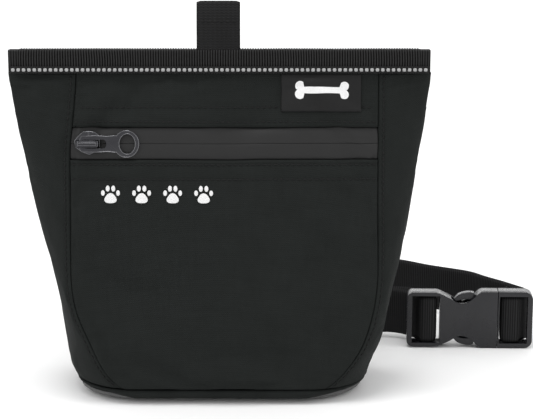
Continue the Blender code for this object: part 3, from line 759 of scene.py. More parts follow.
def panel(
    skin, name, columns, levels, materials, rolled="lrbt", roll=0.0008, dents=(), inset=lambda z: 0.0 * z,
    wall=WALL, step=0.0016,
):
    """A cloth panel on the skin. Its named edges are rolled in. Each dent is a stitched line near an edge."""
    wide = np.linalg.norm(np.diff(skin.at(np.array(columns), np.array([levels[-1]] * 2))[0], axis=0))
    wide = max(wide, abs(columns[1] - columns[0]) * 0.002)
    round_places = spaced(*columns, max(8, round(wide / step)))
    up_places = spaced(*levels, max(4, round((levels[1] - levels[0]) / step)))
    c, z = np.meshgrid(round_places, up_places)
    base = skin.at(c, z)[0]
    left, right = distances(base, 1)
    bottom, top = distances(base, 0)
    edges = {"l": left, "r": right, "b": bottom, "t": top}
    drop = np.zeros_like(left)
    for letter in rolled:
        inside = np.clip(1 - edges[letter] / roll, 0.0, 1.0)
        drop = np.maximum(drop, roll * (1 - np.sqrt(1 - inside ** 2)))
    for letter, distance in dents:
        drop = drop + hill(edges[letter], 0.00028, distance, 0.0008)
    outer = skin.at(c, z, -inset(z) - drop)[0]
    inner = skin.at(c, z, -inset(z) - np.maximum(drop + 0.0002, wall))[0]
    uvs = np.stack((left - left[:, -1:] / 2, bottom), axis=-1)
    return sheet_object(name, outer, inner, uvs, materials)


# ---------------------------------------------------------------- stitching

def stitches(name, path, normals, material, pitch=0.0027, radius=0.00032):
    """A row of stitches along the path: short bowed threads whose ends dip into the cloth."""
    steps = np.linalg.norm(np.diff(path, axis=0), axis=1)
    reach = np.concatenate([[0.0], np.cumsum(steps)])
    count = max(1, int(reach[-1] / pitch))
    stations, sides = 7, 6
    t = np.linspace(-1.0, 1.0, stations)
    centre = (np.arange(count) + 0.5) * reach[-1] / count
    place = (centre[:, None] + t * pitch * 0.40).ravel()
    point = np.stack([np.interp(place, reach, path[:, k]) for k in range(3)], axis=-1)
    up = np.stack([np.interp(place, reach, normals[:, k]) for k in range(3)], axis=-1)
    point, up = point.reshape(count, stations, 3), up.reshape(count, stations, 3)
    along = np.gradient(point, axis=1)
    along /= np.linalg.norm(along, axis=2, keepdims=True)
    side = np.cross(along, up)
    bow = (0.55 - 1.5 * t ** 4)[None, :, None] * radius
    size = (1 - 0.45 * t ** 4)[None, :, None] * radius
    rings = []
    for k in range(sides):
        angle = TAU * k / sides
        rings.append(point + up * bow + size * (side * math.cos(angle) + up * math.sin(angle)))
    vertices = np.stack(rings, axis=2).reshape(-1, 3)
    ring = np.arange(sides)
    faces = []
    for s in range(count * stations):
        if (s + 1) % stations:
            for k in ring:
                j = (k + 1) % sides
                faces.append((s * sides + k, s * sides + j, (s + 1) * sides + j, (s + 1) * sides + k))
        if s % stations == 0:
            faces.append(tuple(s * sides + ring[::-1]))
        if s % stations == stations - 1:
            faces.append(tuple(s * sides + ring))
    item = make_object(name, vertices, faces, [material])
    outward(item)
    return item


def level_stitches(skin, name, z, ends, material, drop):
    """A level row of stitches across the front between two values of x."""
    x = np.linspace(ends[0], ends[1], 160)
    columns = np.array([front_column(v, z) for v in x])
    path, normals = skin.at(columns, np.full_like(x, z), -drop)
    return stitches(name, path, normals, material)


def seam_stitches(skin, name, column, away, levels, material, drop=0.00020):
    """A row of stitches that keeps one distance from a seam, so many metres of cloth to the given side."""
    z = np.linspace(levels[0], levels[1], 160)
    near = skin.at(np.full_like(z, column), z)[0]
    side = math.copysign(1.0, away)
    probe = np.linalg.norm(skin.at(np.full_like(z, column + side), z)[0] - near, axis=1)
    path, normals = skin.at(column + away / np.maximum(probe, 0.0006), z, -drop)
    return stitches(name, path, normals, material)


# ---------------------------------------------------------------- the pouch's cloth pieces


def stretch(item):
    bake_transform(item)


def make_panels(skin, looks):
    cloth = [looks["fabric"], looks["lining"]]
    top = SHELL_TOP - 0.0001
    low = SEAM_Z + 0.0001
    pocket = panel(
        skin, "pocket_panel_cloth", (0, FRONT), (low, ZIP_LOW), cloth,
        dents=(("t", 0.0021), ("t", 0.0088)),
    )
    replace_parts(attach(pocket, "front_wall"), "pocket_panel")
    yoke = panel(
        skin, "front_yoke_cloth", (0, FRONT), (ZIP_HIGH, top), cloth, rolled="lrb",
        dents=(("b", 0.0024), ("b", 0.0091)),
    )
    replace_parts(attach(yoke, "front_wall"), "front_yoke")
    rear = panel(skin, "rear_panel_cloth", (HALF_ROUND, HALF_ROUND + FRONT), (low, top), cloth, rolled="lrb")
    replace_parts(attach(rear, "pouch"), "rear_panel")
    for word, first in (("right", FRONT), ("left", HALF_ROUND + FRONT)):
        side = panel(
            skin, f"{word}_gusset_cloth", (first, first + SIDE), (low, BIND_Z - 0.0001), cloth, rolled="lrbt",
            dents=(("l", 0.0024), ("r", 0.0024)),
        )
        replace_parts(side, f"{word}_gusset")
        stretch(side)
    pocket_back = panel(
        skin, "pocket_back_cloth", (5, FRONT - 5), (SEAM_Z + 0.010, ZIP_HIGH + 0.004), [looks["lining"]],
        rolled="", inset=lambda z: 0.0040 + 0.0 * z, wall=0.0008, step=0.0030,
    )
    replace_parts(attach(pocket_back, "front_wall"), "pocket_back")


def make_seams(skin, looks):
    thread = looks["thread"]
    left, right = -ZIP_HALF + PANEL_SHIFT, ZIP_HALF + PANEL_SHIFT
    for name, z in (("above", ZIP_HIGH + 0.0024), ("below", ZIP_LOW - 0.0021), ("lower", ZIP_LOW - 0.0088)):
        row = level_stitches(skin, f"stitches_{name}_zip", z, (left, right), thread, 0.00020)
        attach(row, "front_wall")
    ends = (left + 0.002, right - 0.002)
    row = level_stitches(skin, "stitches_yoke", ZIP_HIGH + 0.0091, ends, thread, 0.00024)
    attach(row, "front_wall")
    levels = (SEAM_Z + 0.0015, BIND_Z - 0.001)
    for word, column, away in (
        ("front_right", FRONT, 0.0024), ("front_left", AROUND, -0.0024),
        ("rear_right", HALF_ROUND, -0.0024), ("rear_left", HALF_ROUND + FRONT, 0.0024),
    ):
        row = seam_stitches(skin, f"stitches_{word}", column, away, levels, thread)
        stretch(row)


def base_ring(inset, z, steps=24):
    """The base's outline at a height, drawn in by the inset."""
    flat, wide, deep = flat_half(SEAM_Z), BASE_HALF_X - inset, BASE_HALF_Y - inset
    ring = []
    for side, start in ((1, 0), (-1, 90), (-1, 180), (1, 270)):
        for px, py in arc(0.0, 0.0, wide - flat, deep, start, start + 90, steps):
            x = px + side * flat
            push = uneven((x, py, z), 0.022, 0.0004) * min(1.0, z / 0.002)
            ring.append((x * (1 - push / wide), py * (1 - push / deep), z))
    return [Vector(p) for p in tuck(np.array(ring))]


def make_base(looks):
    profile = [
        (0.0056, 0.0), (0.0038, 0.0001), (0.0024, 0.0006), (0.0013, 0.0015), (0.0006, 0.0027),
        (0.0003, 0.0040), (0.0004, 0.0051), (0.0009, 0.0059), (0.0016, 0.0062), (0.0022, 0.0058),
        (0.0026, 0.0040), (0.0036, 0.0017),
    ]
    rings = [base_ring(inset, z) for inset, z in profile]
    around = np.linspace(0.0, 0.36, len(rings[0]))
    along = np.linspace(0.0, 0.016, len(rings))
    base = loft_object("base_cloth", rings, along, around, [looks["fabric"]])
    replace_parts(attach(base, "pouch"), "base_panel")


# ---------------------------------------------------------------- binding, reflective cord and pull tab

def channel_path(side, top):
    """The binding's outer section from the outside's lower edge over the top to the inside's lower edge.

    Each point is (y, z, outward y, outward z).
    """
    out, back, r = 0.0047, 0.0005, 0.0012
    turn_z = top - r
    path = [(out, BIND_Z + (turn_z - BIND_Z) * i / 8, 1.0, 0.0) for i in range(9)]
    for cx, first in ((out - r, 0), (back + r, 90)):
        for i in range(1, 7):
            angle = math.radians(first + 15 * i)
            y, z = math.cos(angle), math.sin(angle)
            path.append((cx + r * y, turn_z + r * z, y, z))
    path += [(back, turn_z - (turn_z - BIND_Z) * i / 3, -1.0, 0.0) for i in range(1, 4)]
    return [(side * y, z, side * ny, nz) for y, z, ny, nz in path]


def ribbed_binding(name, side, top, material):
    """Grosgrain folded over the mouth's edge. Its ribs stop short of its turned-in ends."""
    path = channel_path(side, top)
    wall, plain_end = 0.0008, 0.0042
    count = round(2 * TOP_HALF_X / RIB_PITCH * 6)
    middle = (BIND_Z + TOP_Z) / 2
    rings, along = [], []
    for i in range(count + 1):
        x = -TOP_HALF_X + 2 * TOP_HALF_X * i / count
        from_end = TOP_HALF_X - abs(x)
        fade = min(1.0, max(0.0, (from_end - plain_end) / 0.0012))
        rib = 0.00044 * fade * math.sqrt(0.5 + 0.5 * math.cos(TAU * x / RIB_PITCH)) - 0.00026
        bow = 0.0006 * fade * noise.noise((x * 28, 3.1, 0.7))
        outer, inner = [], []
        for y, z, ny, nz in path:
            lean = bow * (1 - ((z - middle) / (TOP_Z - middle)) ** 2)
            push = rib + 0.00012 * noise.noise((x * 60, z * 90, y * 90))
            outer.append(Vector((x + lean, y + ny * push, z + nz * push)))
            inner.append(Vector((x, y - ny * wall, z - nz * wall)))
        rings.append(outer + inner[::-1])
        along.append(x)
    around = [0.0013 * k for k in range(len(path))]
    return loft_object(name, rings, along, around + around[::-1], [material])


def make_binding(looks):
    walls = ((-1, "front", "front_wall", TOP_Z - 0.0003), (1, "rear", "pouch", TOP_Z - 0.0011))
    for side, word, body, top in walls:
        item = ribbed_binding(f"{word}_binding_ribbed", side, top, looks["binding"])
        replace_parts(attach(item, body), f"{word}_binding")


def make_reflective(looks):
    """A dark flat cord along the binding's lower edge, with pale reflective stitches over it."""
    low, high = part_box("reflective_stitch")
    middle = (low.z + high.z) / 2
    path = [Vector((low.x + (high.x - low.x) * i / 120, low.y + 0.0003, middle)) for i in range(121)]
    cord = ribbon("reflective_cord", path, Vector((0.0, 0.0, 1.0)), 0.0032, 0.0006, looks["thread"])
    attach(cord, "front_wall")
    pitch, half_x, half_z, bulge = 0.00247, 0.00084, 0.00080, 0.00042
    count = int((high.x - low.x) / pitch)
    rows, sides = 5, 16
    vertices, faces = [], []
    for k in range(count):
        x = low.x + (high.x - low.x) * (k + 0.5) / count
        tilt = 0.25 * noise.noise((k * 1.7, 0.3, 0.0))
        start = len(vertices)
        for j in range(rows):
            angle = math.pi / 2 * j / rows
            for i in range(sides):
                a = TAU * i / sides
                cx = math.copysign(abs(math.cos(a)) ** 0.6, math.cos(a)) * half_x * math.cos(angle)
                cz = math.copysign(abs(math.sin(a)) ** 0.6, math.sin(a)) * half_z * math.cos(angle)
                depth = bulge * math.sin(angle)
                vertices.append((x + cx - tilt * cz, low.y - 0.0001 - depth, middle + cz + tilt * cx * 0.4))
            if j:
                for i in range(sides):
                    a, b = start + (j - 1) * sides + i, start + (j - 1) * sides + (i + 1) % sides
                    faces.append((a, b, b + sides, a + sides))
        faces.append(tuple(start + (rows - 1) * sides + i for i in range(sides)))
        faces.append(tuple(start + i for i in reversed(range(sides))))
    dots = make_object("reflective_dots", vertices, faces, [looks["reflective"]])
    outward(dots)
    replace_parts(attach(dots, "front_wall"), "reflective_stitch")


def make_tab(looks):
    """Webbing folded over at the top and sewn across, with its lower end caught in the binding."""
    y, half, r = TAB_MIDDLE.y, (TAB_HIGH.x - TAB_LOW.x) / 2, 0.00086
    x, low, top = TAB_MIDDLE.x, TOP_Z - 0.0012, TAB_HIGH.z - 0.0015
    back = lambda z: y + 0.0030 * ((z - low) / (top - low)) ** 3
    levels = [low + (top - low) * i / 120 for i in range(121)]
    over = [(x, back(top) + py, top + pz) for py, pz in arc(0.0, 0.0, r, r, 180, 0, 10)[1:-1]]
    path = [Vector((x, back(z) - r, z)) for z in levels] + [Vector(p) for p in over]
    path += [Vector((x, back(z) + r, z)) for z in reversed(levels)]
    tab = ribbon(
        "pull_tab_webbing", path, Vector((1.0, 0.0, 0.0)), 2 * half, 0.00112, looks["webbing"],
        rib=lambda s: 0.00009 * math.cos(TAU * s / 0.0013),
    )
    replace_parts(tab, "pull_tab")
    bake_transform(tab)
    places, z = np.linspace(x - half * 0.86, x + half * 0.86, 30), 0.179
    across = np.stack([places, np.full(30, back(z) - r - 0.0005), np.full(30, z)], -1)
    row = stitches("stitches_tab", across, np.tile((0.0, -1.0, 0.0), (30, 1)), looks["thread"])
    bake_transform(row)


# ---------------------------------------------------------------- zip

def make_tapes(skin, looks):
    def sunk(z):
        return 0.0004 + 0.0011 * np.abs((z - ZIP_MIDDLE) / (ZIP_HIGH - ZIP_MIDDLE)) ** 3

    def sunk_under(z):
        return sunk(z) + 0.00022 * ease((z - ZIP_MIDDLE + 0.0006) / 0.0006)

    for name, levels, inset in (
        ("lower", (ZIP_LOW, ZIP_MIDDLE + 0.0002), sunk_under), ("upper", (ZIP_MIDDLE, ZIP_HIGH), sunk),
    ):
        tape = panel(
            skin, f"zip_tape_{name}_coated", (0.1, FRONT - 0.1), levels, [looks["tape"], looks["lining"]],
            rolled="", inset=inset, wall=0.0007, step=0.0012,
        )
        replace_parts(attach(tape, "front_wall"), f"zip_tape_{name}")


ZIP_AT = (PANEL_SHIFT, -half_depth(ZIP_MIDDLE), ZIP_MIDDLE)
ZIP_FRAME = Matrix.Translation(ZIP_AT) @ Matrix.Rotation(-LEAN, 4, "X")
SLIDER_X = -0.0615
PLATE_LENGTH, PLATE_WIDTH, PLATE = 0.0126, 0.0100, 0.0012
PLATE_Y = 0.0003 - GAP - PLATE / 2


def slider_outline():
    """The slider's plate: a blunt nose on the left, a tall upper wing, and a lower wing with a point."""
    shares = [
        (-0.46, -0.36), (-0.24, -0.76), (0.02, -1.04), (0.10, -1.04), (0.30, -0.76), (0.46, -0.60),
        (0.46, 0.66), (0.40, 0.88), (0.28, 1.10), (0.12, 1.18), (-0.16, 1.16), (-0.26, 0.96),
        (-0.40, 0.60), (-0.50, 0.30),
    ]
    return [(PLATE_LENGTH * x, PLATE_WIDTH / 2 * z) for x, z in shares]


def make_slider(looks):
    # The second material is the brighter gunmetal, a painted highlight for the rounded edges.
    metal, edge = looks["gunmetal"], looks["gunmetal_painted_highlight"]
    slider = ZIP_FRAME @ Matrix.Translation((SLIDER_X - PANEL_SHIFT, 0.0, 0.0))
    facing = slider.to_3x3() @ Vector((0.0, 1.0, 0.0))
    parts = []
    for y in (PLATE_Y, 0.0003 + 0.0008 + GAP + PLATE / 2):
        place = slider @ Matrix.Translation((0.0, y, 0.0)) @ UPRIGHT
        parts.append(flat_plate("slider_plates", [slider_outline()], PLATE / 2, 0.00035, place, metal))
    post = block((-0.0055, PLATE_Y, -0.00025), (-0.0015, 0.0020, 0.00025), 0.0001, slider, metal)
    body = combine(parts[0], [parts[1], post], "UNION")
    body.name = "slider_plates"
    paint_edge_highlight(body, facing, edge)
    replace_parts(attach(body, "zip_slider"), "slider_body")
    face = PLATE_Y - PLATE / 2
    low, high = face - 0.0004, face - 0.0033
    left = [(-0.0051, low, 0.0), (-0.0050, high + 0.0012, 0.0), (-0.0038, high + 0.0002, 0.0)]
    route = left + [(0.0, high - 0.0001, 0.0)] + [(-x, y, z) for x, y, z in reversed(left)]
    path = [slider @ p for p in smooth_path(route, 0.0005)]
    across = slider.to_3x3() @ Vector((0.0, 0.0, 1.0))
    bridge = ribbon("slider_bridge_bar", path, across, 0.0034, 0.0008, metal)
    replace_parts(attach(bridge, "zip_slider"), "slider_bridge")
    crown = block((-0.0046, high - 0.0009, -0.0008), (0.0044, high - 0.0001, 0.0008), 0.00035, slider, metal)
    crown.name = "slider_bridge_crown"
    paint_edge_highlight(crown, facing, edge)
    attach(crown, "zip_slider")
    ridge = block((0.0002, face - 0.0004, 0.0030), (0.0008, face + 0.0003, 0.0054), 0.00020, slider, metal)
    ridge.name = "slider_ridge"
    paint_edge_highlight(ridge, facing, edge)
    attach(ridge, "zip_slider")
    make_pull(slider @ Matrix.Translation((-0.0026, face - 0.0016, 0.0)), metal, edge)


def make_pull(pull, metal, rim):
    """The pull lies along the zip: a fork about the bridge, a waisted neck, and a round grip with a hole."""
    grip = arc(0.0208, 0.0, 0.0058, 0.0062, -142, 142, 40)
    upper = [
        (0.0152, 0.0039), (0.0135, 0.0036), (0.0115, 0.0035), (0.0095, 0.0037), (0.0060, 0.0038),
        (0.0, 0.0036),
    ]
    nose = arc(0.0, 0.0, 0.0010, 0.0034, 130, 230, 4)
    edge = [(x, -z) for x, z in reversed(upper)] + grip + upper + nose
    hole = arc(0.0212, 0.0, 0.0038, 0.0048, 0, 350, 34)
    slot = arc(0.0022, 0.0, 0.0015, 0.0021, 90, 270, 8) + arc(0.0100, 0.0, 0.0015, 0.0021, -90, 90, 8)
    item = flat_plate("zip_pull_ring", [edge, hole, slot], 0.0006, 0.00020, pull @ UPRIGHT, metal)
    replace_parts(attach(item, "zip_pull"), "zip_pull")
    face = pull @ UPRIGHT @ Matrix.Translation((0.0, 0.0, 0.0005))
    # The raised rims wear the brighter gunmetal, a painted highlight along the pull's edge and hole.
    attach(beads("zip_pull_highlight_rims", [edge, hole], 0.00023, face, rim), "zip_pull")


# ---------------------------------------------------------------- label and embroidery

def bone(cx, cz, length, height):
    """The outline of a plain bone."""
    r = height * 0.29
    shaft, x = height * 0.20, length / 2 - r
    right = arc(x, -r * 0.86, r, r, -150, 60, 12)[1:] + arc(x, r * 0.86, r, r, -60, 150, 12)[:-1]
    right = [(x - r * 0.9, -shaft)] + right + [(x - r * 0.9, shaft)]
    loop = right + [(-px, -pz) for px, pz in right]
    return [(cx + px, cz + pz) for px, pz in loop]


def paw(cx, cz, size):
    """The outlines of a paw print: a broad pad and four toes."""
    pad = []
    for i in range(28):
        a = TAU * i / 28
        reach = size * (1 + 0.10 * math.cos(3 * (a - math.pi / 2)))
        pad.append((cx + 0.30 * reach * math.cos(a), cz - 0.18 * size + 0.25 * reach * math.sin(a)))
    loops = [pad]
    outer, inner = (0.38, 0.10, 0.095, 0.14), (0.14, 0.32, 0.10, 0.15)
    for side, (x, z, rx, rz) in ((-1, outer), (-1, inner), (1, inner), (1, outer)):
        loops.append(arc(cx + side * x * size, cz + z * size, rx * size, rz * size, 0, 340, 17))
    return loops


def slice_up(item, size):
    """Cuts a flat mesh along a grid of lines, so that it can follow a curved surface."""
    bm = bmesh.new()
    bm.from_mesh(item.data)
    for axis in (0, 1):
        values = [v.co[axis] for v in bm.verts]
        cut = min(values) + size / 2
        while cut < max(values):
            place, normal = Vector((0.0, 0.0, 0.0)), Vector((0.0, 0.0, 0.0))
            place[axis], normal[axis] = cut, 1.0
            everything = bm.verts[:] + bm.edges[:] + bm.faces[:]
            bmesh.ops.bisect_plane(bm, geom=everything, plane_co=place, plane_no=normal)
            cut += size
    bm.to_mesh(item.data)
    bm.free()


def on_front(skin, name, loops, lift, thickness, bevel, material):
    """Flat shapes in x and z laid on the front of the skin, lifted off it."""
    flat = flat_plate(name, loops, thickness / 2, bevel, Matrix.Identity(4), material)
    slice_up(flat, 0.0012)
    places = np.array([v.co for v in flat.data.vertices])
    columns = np.array([front_column(x, z) for x, z, _ in places])
    points, normals = skin.at(columns, places[:, 1])
    points += normals * (lift + thickness / 2 + places[:, 2])[:, None]
    flat.data.vertices.foreach_set("co", points.ravel())
    flat.data.update()
    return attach(flat, "front_wall")


def make_marks(skin, looks):
    z = (LABEL_LOW.z + LABEL_HIGH.z) / 2
    columns = (front_column(LABEL_LOW.x, z), front_column(LABEL_HIGH.x, z))
    patch = panel(
        skin, "label_patch_cloth", columns, (LABEL_LOW.z, BIND_Z - 0.0002), [looks["label"]],
        rolled="lrbt", roll=0.0006, inset=lambda z: -0.0010 + 0.0 * z, wall=0.0009, step=0.0012,
    )
    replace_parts(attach(patch, "front_wall"), "label_patch")
    middle = (LABEL_LOW.x + LABEL_HIGH.x) / 2
    white = looks["white_thread"]
    shape = bone(middle + 0.0004, z + 0.0012, 0.025, 0.0078)
    on_front(skin, "label_bone", [shape], 0.0010, 0.00022, 0.00006, white)
    shapes = []
    for k in range(4):
        shapes += paw(-0.0505 + 0.0144 * k, 0.0988, 0.0092)
    on_front(skin, "embroidered_paws", shapes, -0.00002, 0.00040, 0.00015, white)


# ---------------------------------------------------------------- buckle

BUCKLE = Matrix.Translation(BUCKLE_AT) @ Matrix.Rotation(BUCKLE_YAW, 4, "Z")
PARTING_X, BAR_THICK, BUCKLE_BEVEL = 0.0140, 0.0030, 0.0006
SOCKET_END_TOP = 0.0143
OUTER_SLOT, OUTER_SLOT_HALF_Z = (0.0293, 0.0242), 0.0125
SOCKET_INNER_SLOT, PLUG_INNER_SLOT, INNER_SLOT_HALF_Z = (0.0187, 0.0153), (0.0179, 0.0152), 0.0123
ARM_X, ARM_Z, ARM_HALF_Y = 0.0121, 0.0098, 0.0020
CAVITY_START, CAVITY_HALF_Z, CAVITY_HALF_Y = -0.0095, 0.0122, 0.0024


def ladder_slots(side, inner):
    """The two slots at a strap end, either side of its middle bar."""
    slots = []
    for (far, near), z in ((OUTER_SLOT, OUTER_SLOT_HALF_Z), (inner, INNER_SLOT_HALF_Z)):
        slots.append([(side * far, -z), (side * near, -z), (side * near, z), (side * far, z)])
    return slots


def socket_outline():
    top = BUCKLE_HEIGHT / 2
    r = 0.0030
    waist = smooth_path([
        (-0.0172, SOCKET_END_TOP, 0.0), (-0.0150, SOCKET_END_TOP - 0.0006, 0.0), (-0.0095, top - 0.0039, 0.0),
        (-0.0066, top - 0.0058, 0.0), (-0.0037, top - 0.0063, 0.0), (-0.0008, top - 0.0054, 0.0),
        (0.0017, top - 0.0035, 0.0), (0.0044, top - 0.0008, 0.0), (0.0062, top, 0.0),
    ], 0.0010)
    upper = arc(-BUCKLE_HALF + r, SOCKET_END_TOP - r, r, r, 180, 90, 6) + [(-0.0190, SOCKET_END_TOP)]
    upper += [(p.x, p.y) for p in waist] + [(PARTING_X, top)]
    return upper + [(x, -z) for x, z in reversed(upper)]


def relieve(item, side, inner, material):
    """Thins the middle bar front and back, and cuts the end bar back behind for the webbing."""
    cutters, near, high_z = [], inner[1] - 0.0002, OUTER_SLOT_HALF_Z
    for sign, far in ((-1, OUTER_SLOT[0]), (1, BUCKLE_HALF + 0.001)):
        low_x, high_x = sorted((side * far, side * near))
        low_y, high_y = sorted((sign * BAR_THICK / 2, sign * (BUCKLE_THICK / 2 + 0.001)))
        cutters.append(block((low_x, low_y, -high_z), (high_x, high_y, high_z), 0.0003, BUCKLE, material))
    return combine(item, cutters, "DIFFERENCE")


def make_buckle(looks):
    plastic = looks["plastic"]
    half, top = BUCKLE_THICK / 2, BUCKLE_HEIGHT / 2
    loops = [socket_outline()] + ladder_slots(-1, SOCKET_INNER_SLOT)
    socket = flat_plate("buckle_socket_moulding", loops, half, BUCKLE_BEVEL, BUCKLE @ UPRIGHT, plastic)
    low = (CAVITY_START, -CAVITY_HALF_Y, -CAVITY_HALF_Z)
    high = (PARTING_X + 0.002, CAVITY_HALF_Y, CAVITY_HALF_Z)
    cavity = block(low, high, 0.0003, BUCKLE, plastic)
    socket = relieve(combine(socket, [cavity], "DIFFERENCE"), -1, SOCKET_INNER_SLOT, plastic)
    socket.name = "buckle_socket_moulding"
    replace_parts(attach(socket, "pouch"), "buckle_socket")
    start, r = PARTING_X + GAP, 0.0042
    edge = (
        [(start, -top)] + arc(BUCKLE_HALF - r, -top + r, r, r, 270, 360, 9)
        + arc(BUCKLE_HALF - r, top - r, r, r, 0, 90, 9) + [(start, top)]
    )
    loops = [edge] + ladder_slots(1, PLUG_INNER_SLOT)
    plug = flat_plate("buckle_plug_moulding", loops, half, BUCKLE_BEVEL, BUCKLE @ UPRIGHT, plastic)
    tongue = block((-0.0070, -0.0021, -0.0022), (start + 0.0006, 0.0021, 0.0022), 0.0005, BUCKLE, plastic)
    plug = relieve(combine(plug, [tongue], "UNION"), 1, PLUG_INNER_SLOT, plastic)
    plug.name = "buckle_plug_moulding"
    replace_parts(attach(plug, "buckle_plug"), "buckle_plug")
    for side, word in ((1, "upper"), (-1, "lower")):
        place = BUCKLE @ Matrix.Translation((ARM_X, 0.0, side * ARM_Z)) @ UPRIGHT
        loops = [arm_outline(side)]
        arm = flat_plate(f"latch_arm_{word}_moulding", loops, ARM_HALF_Y, 0.0005, place, plastic)
        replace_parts(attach(arm, f"latch_arm_{word}"), f"latch_arm_{word}")


def arm_outline(side):
    """A latch arm from its bend at the flange to the pad that fills the socket's waist."""
    outer = smooth_path([
        (0.0018, 0.0014, 0.0), (-0.0094, 0.0018, 0.0), (-0.0096, 0.0035, 0.0), (-0.0112, 0.0042, 0.0),
        (-0.0145, 0.0041, 0.0), (-0.0180, 0.0029, 0.0), (-0.0204, 0.0006, 0.0),
    ], 0.0008)
    inner = smooth_path([
        (-0.0201, -0.0012, 0.0), (-0.0165, 0.0002, 0.0), (-0.0130, 0.0004, 0.0), (-0.0095, -0.0006, 0.0),
        (0.0018, -0.0014, 0.0),
    ], 0.0010)
    points = [(p.x, side * p.y) for p in outer + inner]
    return points[::-side]


# ---------------------------------------------------------------- belt

BELT_LOOP_Z, BELT_LOOP_Y = 0.051, 0.0262
LOOP_X, LOOP_HALF = 0.034, 0.0125

# The webbing's turn round a middle bar in the buckle's own frame. X counts outwards from the middle.
SOCKET_WRAP = [
    (0.0760, 0.0146), (0.0560, 0.0146), (0.0400, 0.0143), (0.0300, 0.0128), (0.0235, 0.0098),
    (0.0192, 0.0055), (0.0176, 0.0015), (0.0175, -0.0012), (0.0187, -0.0025), (0.0215, -0.0027),
    (0.0243, -0.0025), (0.0254, -0.0010), (0.0264, 0.0012), (0.0285, 0.0042), (0.0318, 0.0078),
    (0.0362, 0.0106), (0.0430, 0.0120),
]
PLUG_WRAP = [
    (0.0304, 0.0080), (0.0298, 0.0048), (0.0278, 0.0024), (0.0260, 0.0008), (0.0254, -0.0010),
    (0.0243, -0.0025), (0.0213, -0.0027), (0.0179, -0.0025), (0.0164, -0.0012), (0.0163, 0.0012),
    (0.0164, 0.0040), (0.0171, 0.0080), (0.0186, 0.0125), (0.0200, 0.0165),
]


def buckle_point(x, y):
    return BUCKLE @ Vector((x, y, 0.0))


def turn(x, y, r, side, low_z, high_z):
    """A half turn of the belt on edge: it leaves the row at y and joins the one behind it."""
    points = []
    for i in range(7):
        angle = math.pi * i / 6
        z = low_z + (high_z - low_z) * i / 6
        points.append((x + side * r * math.sin(angle), y + r - r * math.cos(angle), z))
    return points


def belt_route():
    """The CAD's route: round the socket's bar, in folds behind the pouch, through its loops, to the plug."""
    low = BUCKLE_AT.z
    route = [buckle_point(-x, y) for x, y in SOCKET_WRAP]
    route += [(0.0650, 0.0695, low), (0.0400, 0.0690, low), (0.0, 0.0685, low)]
    route += turn(-0.046, 0.0480, 0.010, -1, low + 0.004, low)[::-1]
    route += [(-0.010, 0.0480, 0.0300), (0.028, 0.0472, 0.0435)]
    route += turn(0.056, BELT_LOOP_Y, 0.0104, 1, BELT_LOOP_Z, BELT_LOOP_Z - 0.003)[::-1]
    route += [(LOOP_X, BELT_LOOP_Y, BELT_LOOP_Z), (0.0, BELT_LOOP_Y, BELT_LOOP_Z)]
    route += [(-LOOP_X, BELT_LOOP_Y, BELT_LOOP_Z), (-0.0540, 0.0280, BELT_LOOP_Z - 0.002)]
    route += [(-0.0650, 0.0400, 0.0430), (-0.0670, 0.0580, 0.0330), (-0.0620, 0.0760, 0.0240)]
    route += [(-0.0460, 0.0860, 0.0180), (-0.0200, 0.0880, low + 0.001), (0.0200, 0.0880, low)]
    route += turn(0.048, 0.0880, 0.0075, 1, low, low)
    route += [(0.020, 0.1030, low), (-0.020, 0.1030, low)]
    route += turn(-0.048, 0.1030, 0.0080, -1, low, low)
    route += [(-0.010, 0.1195, low), (0.040, 0.1225, low), (0.0760, 0.1245, low), (0.0931, 0.1195, low)]
    route += [(0.1090, 0.1090, low), (0.1281, 0.0983, low), (0.1365, 0.0890, low), (0.1450, 0.0800, low)]
    route += [(0.1505, 0.0735, low), (0.1545, 0.0685, low)]
    return route + [buckle_point(x, y) for x, y in PLUG_WRAP]


def make_belt(looks):
    path = smooth_path(belt_route(), 0.0015)
    belt = ribbon("belt_webbing_woven", path, Vector((0.0, 0.0, 1.0)), WEB, WEB_THICK, looks["strap"])
    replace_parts(belt, "belt_webbing")
    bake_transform(belt)


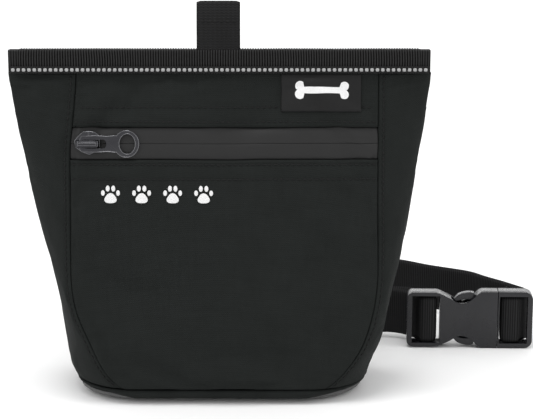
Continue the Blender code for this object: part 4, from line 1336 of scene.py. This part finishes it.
def make_loops(looks):
    """Two upright webbing loops on the back, bar-tacked at both ends, for the belt to pass under."""
    stand_off = (
        (0.0280, 0.0), (0.0315, 0.0), (0.0355, 0.0030), (0.0400, 0.0040), (0.0500, 0.0058),
        (0.0600, 0.0074), (0.0680, 0.0072), (0.0760, 0.0030), (0.0810, 0.0), (0.0850, 0.0),
    )
    right = Vector((1.0, 0.0, 0.0))
    for side, word in ((-1, "left"), (1, "right")):
        route = [(side * LOOP_X, half_depth(z) + GAP + 0.0007 + off, z) for z, off in stand_off]
        path = smooth_path(route, 0.0012)
        loop = ribbon(f"{word}_belt_loop_webbing", path, right, 2 * LOOP_HALF, 0.0013, looks["webbing"])
        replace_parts(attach(loop, "pouch"), f"{word}_belt_loop")
        for end, z in (("low", 0.0297), ("high", 0.0832)):
            x = np.linspace(side * LOOP_X - LOOP_HALF * 0.9, side * LOOP_X + LOOP_HALF * 0.9, 60)
            zigzag = z + 0.0008 * np.sign(np.sin(np.arange(60) * math.pi / 2 + 0.5))
            y = np.array([half_depth(v) + GAP + 0.00135 for v in zigzag])
            tack = stitches(
                f"{word}_loop_tack_{end}", np.stack([x, y, zigzag], -1), np.tile((0.0, 1.0, 0.15), (60, 1)),
                looks["thread"], pitch=0.0016,
            )
            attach(tack, "pouch")


# ---------------------------------------------------------------- what the CAD keeps

def dress_kept_nodes(looks):
    kept = {"board": ["base_board"], "steel": ["front_stiffener", "rear_stiffener"]}
    kept["steel"] += [f"{wall}_magnet_{end}" for wall in ("front", "rear") for end in ("left", "right")]
    for look, names in kept.items():
        for name in names:
            paint(frame["nodes"][name].data, looks[look])


def main():
    make_camera()
    make_studio()
    looks = make_materials()
    skin = make_skin()
    make_panels(skin, looks)
    make_seams(skin, looks)
    make_base(looks)
    make_binding(looks)
    make_reflective(looks)
    make_tab(looks)
    make_tapes(skin, looks)
    make_slider(looks)
    make_marks(skin, looks)
    make_buckle(looks)
    make_belt(looks)
    make_loops(looks)
    dress_kept_nodes(looks)


main()
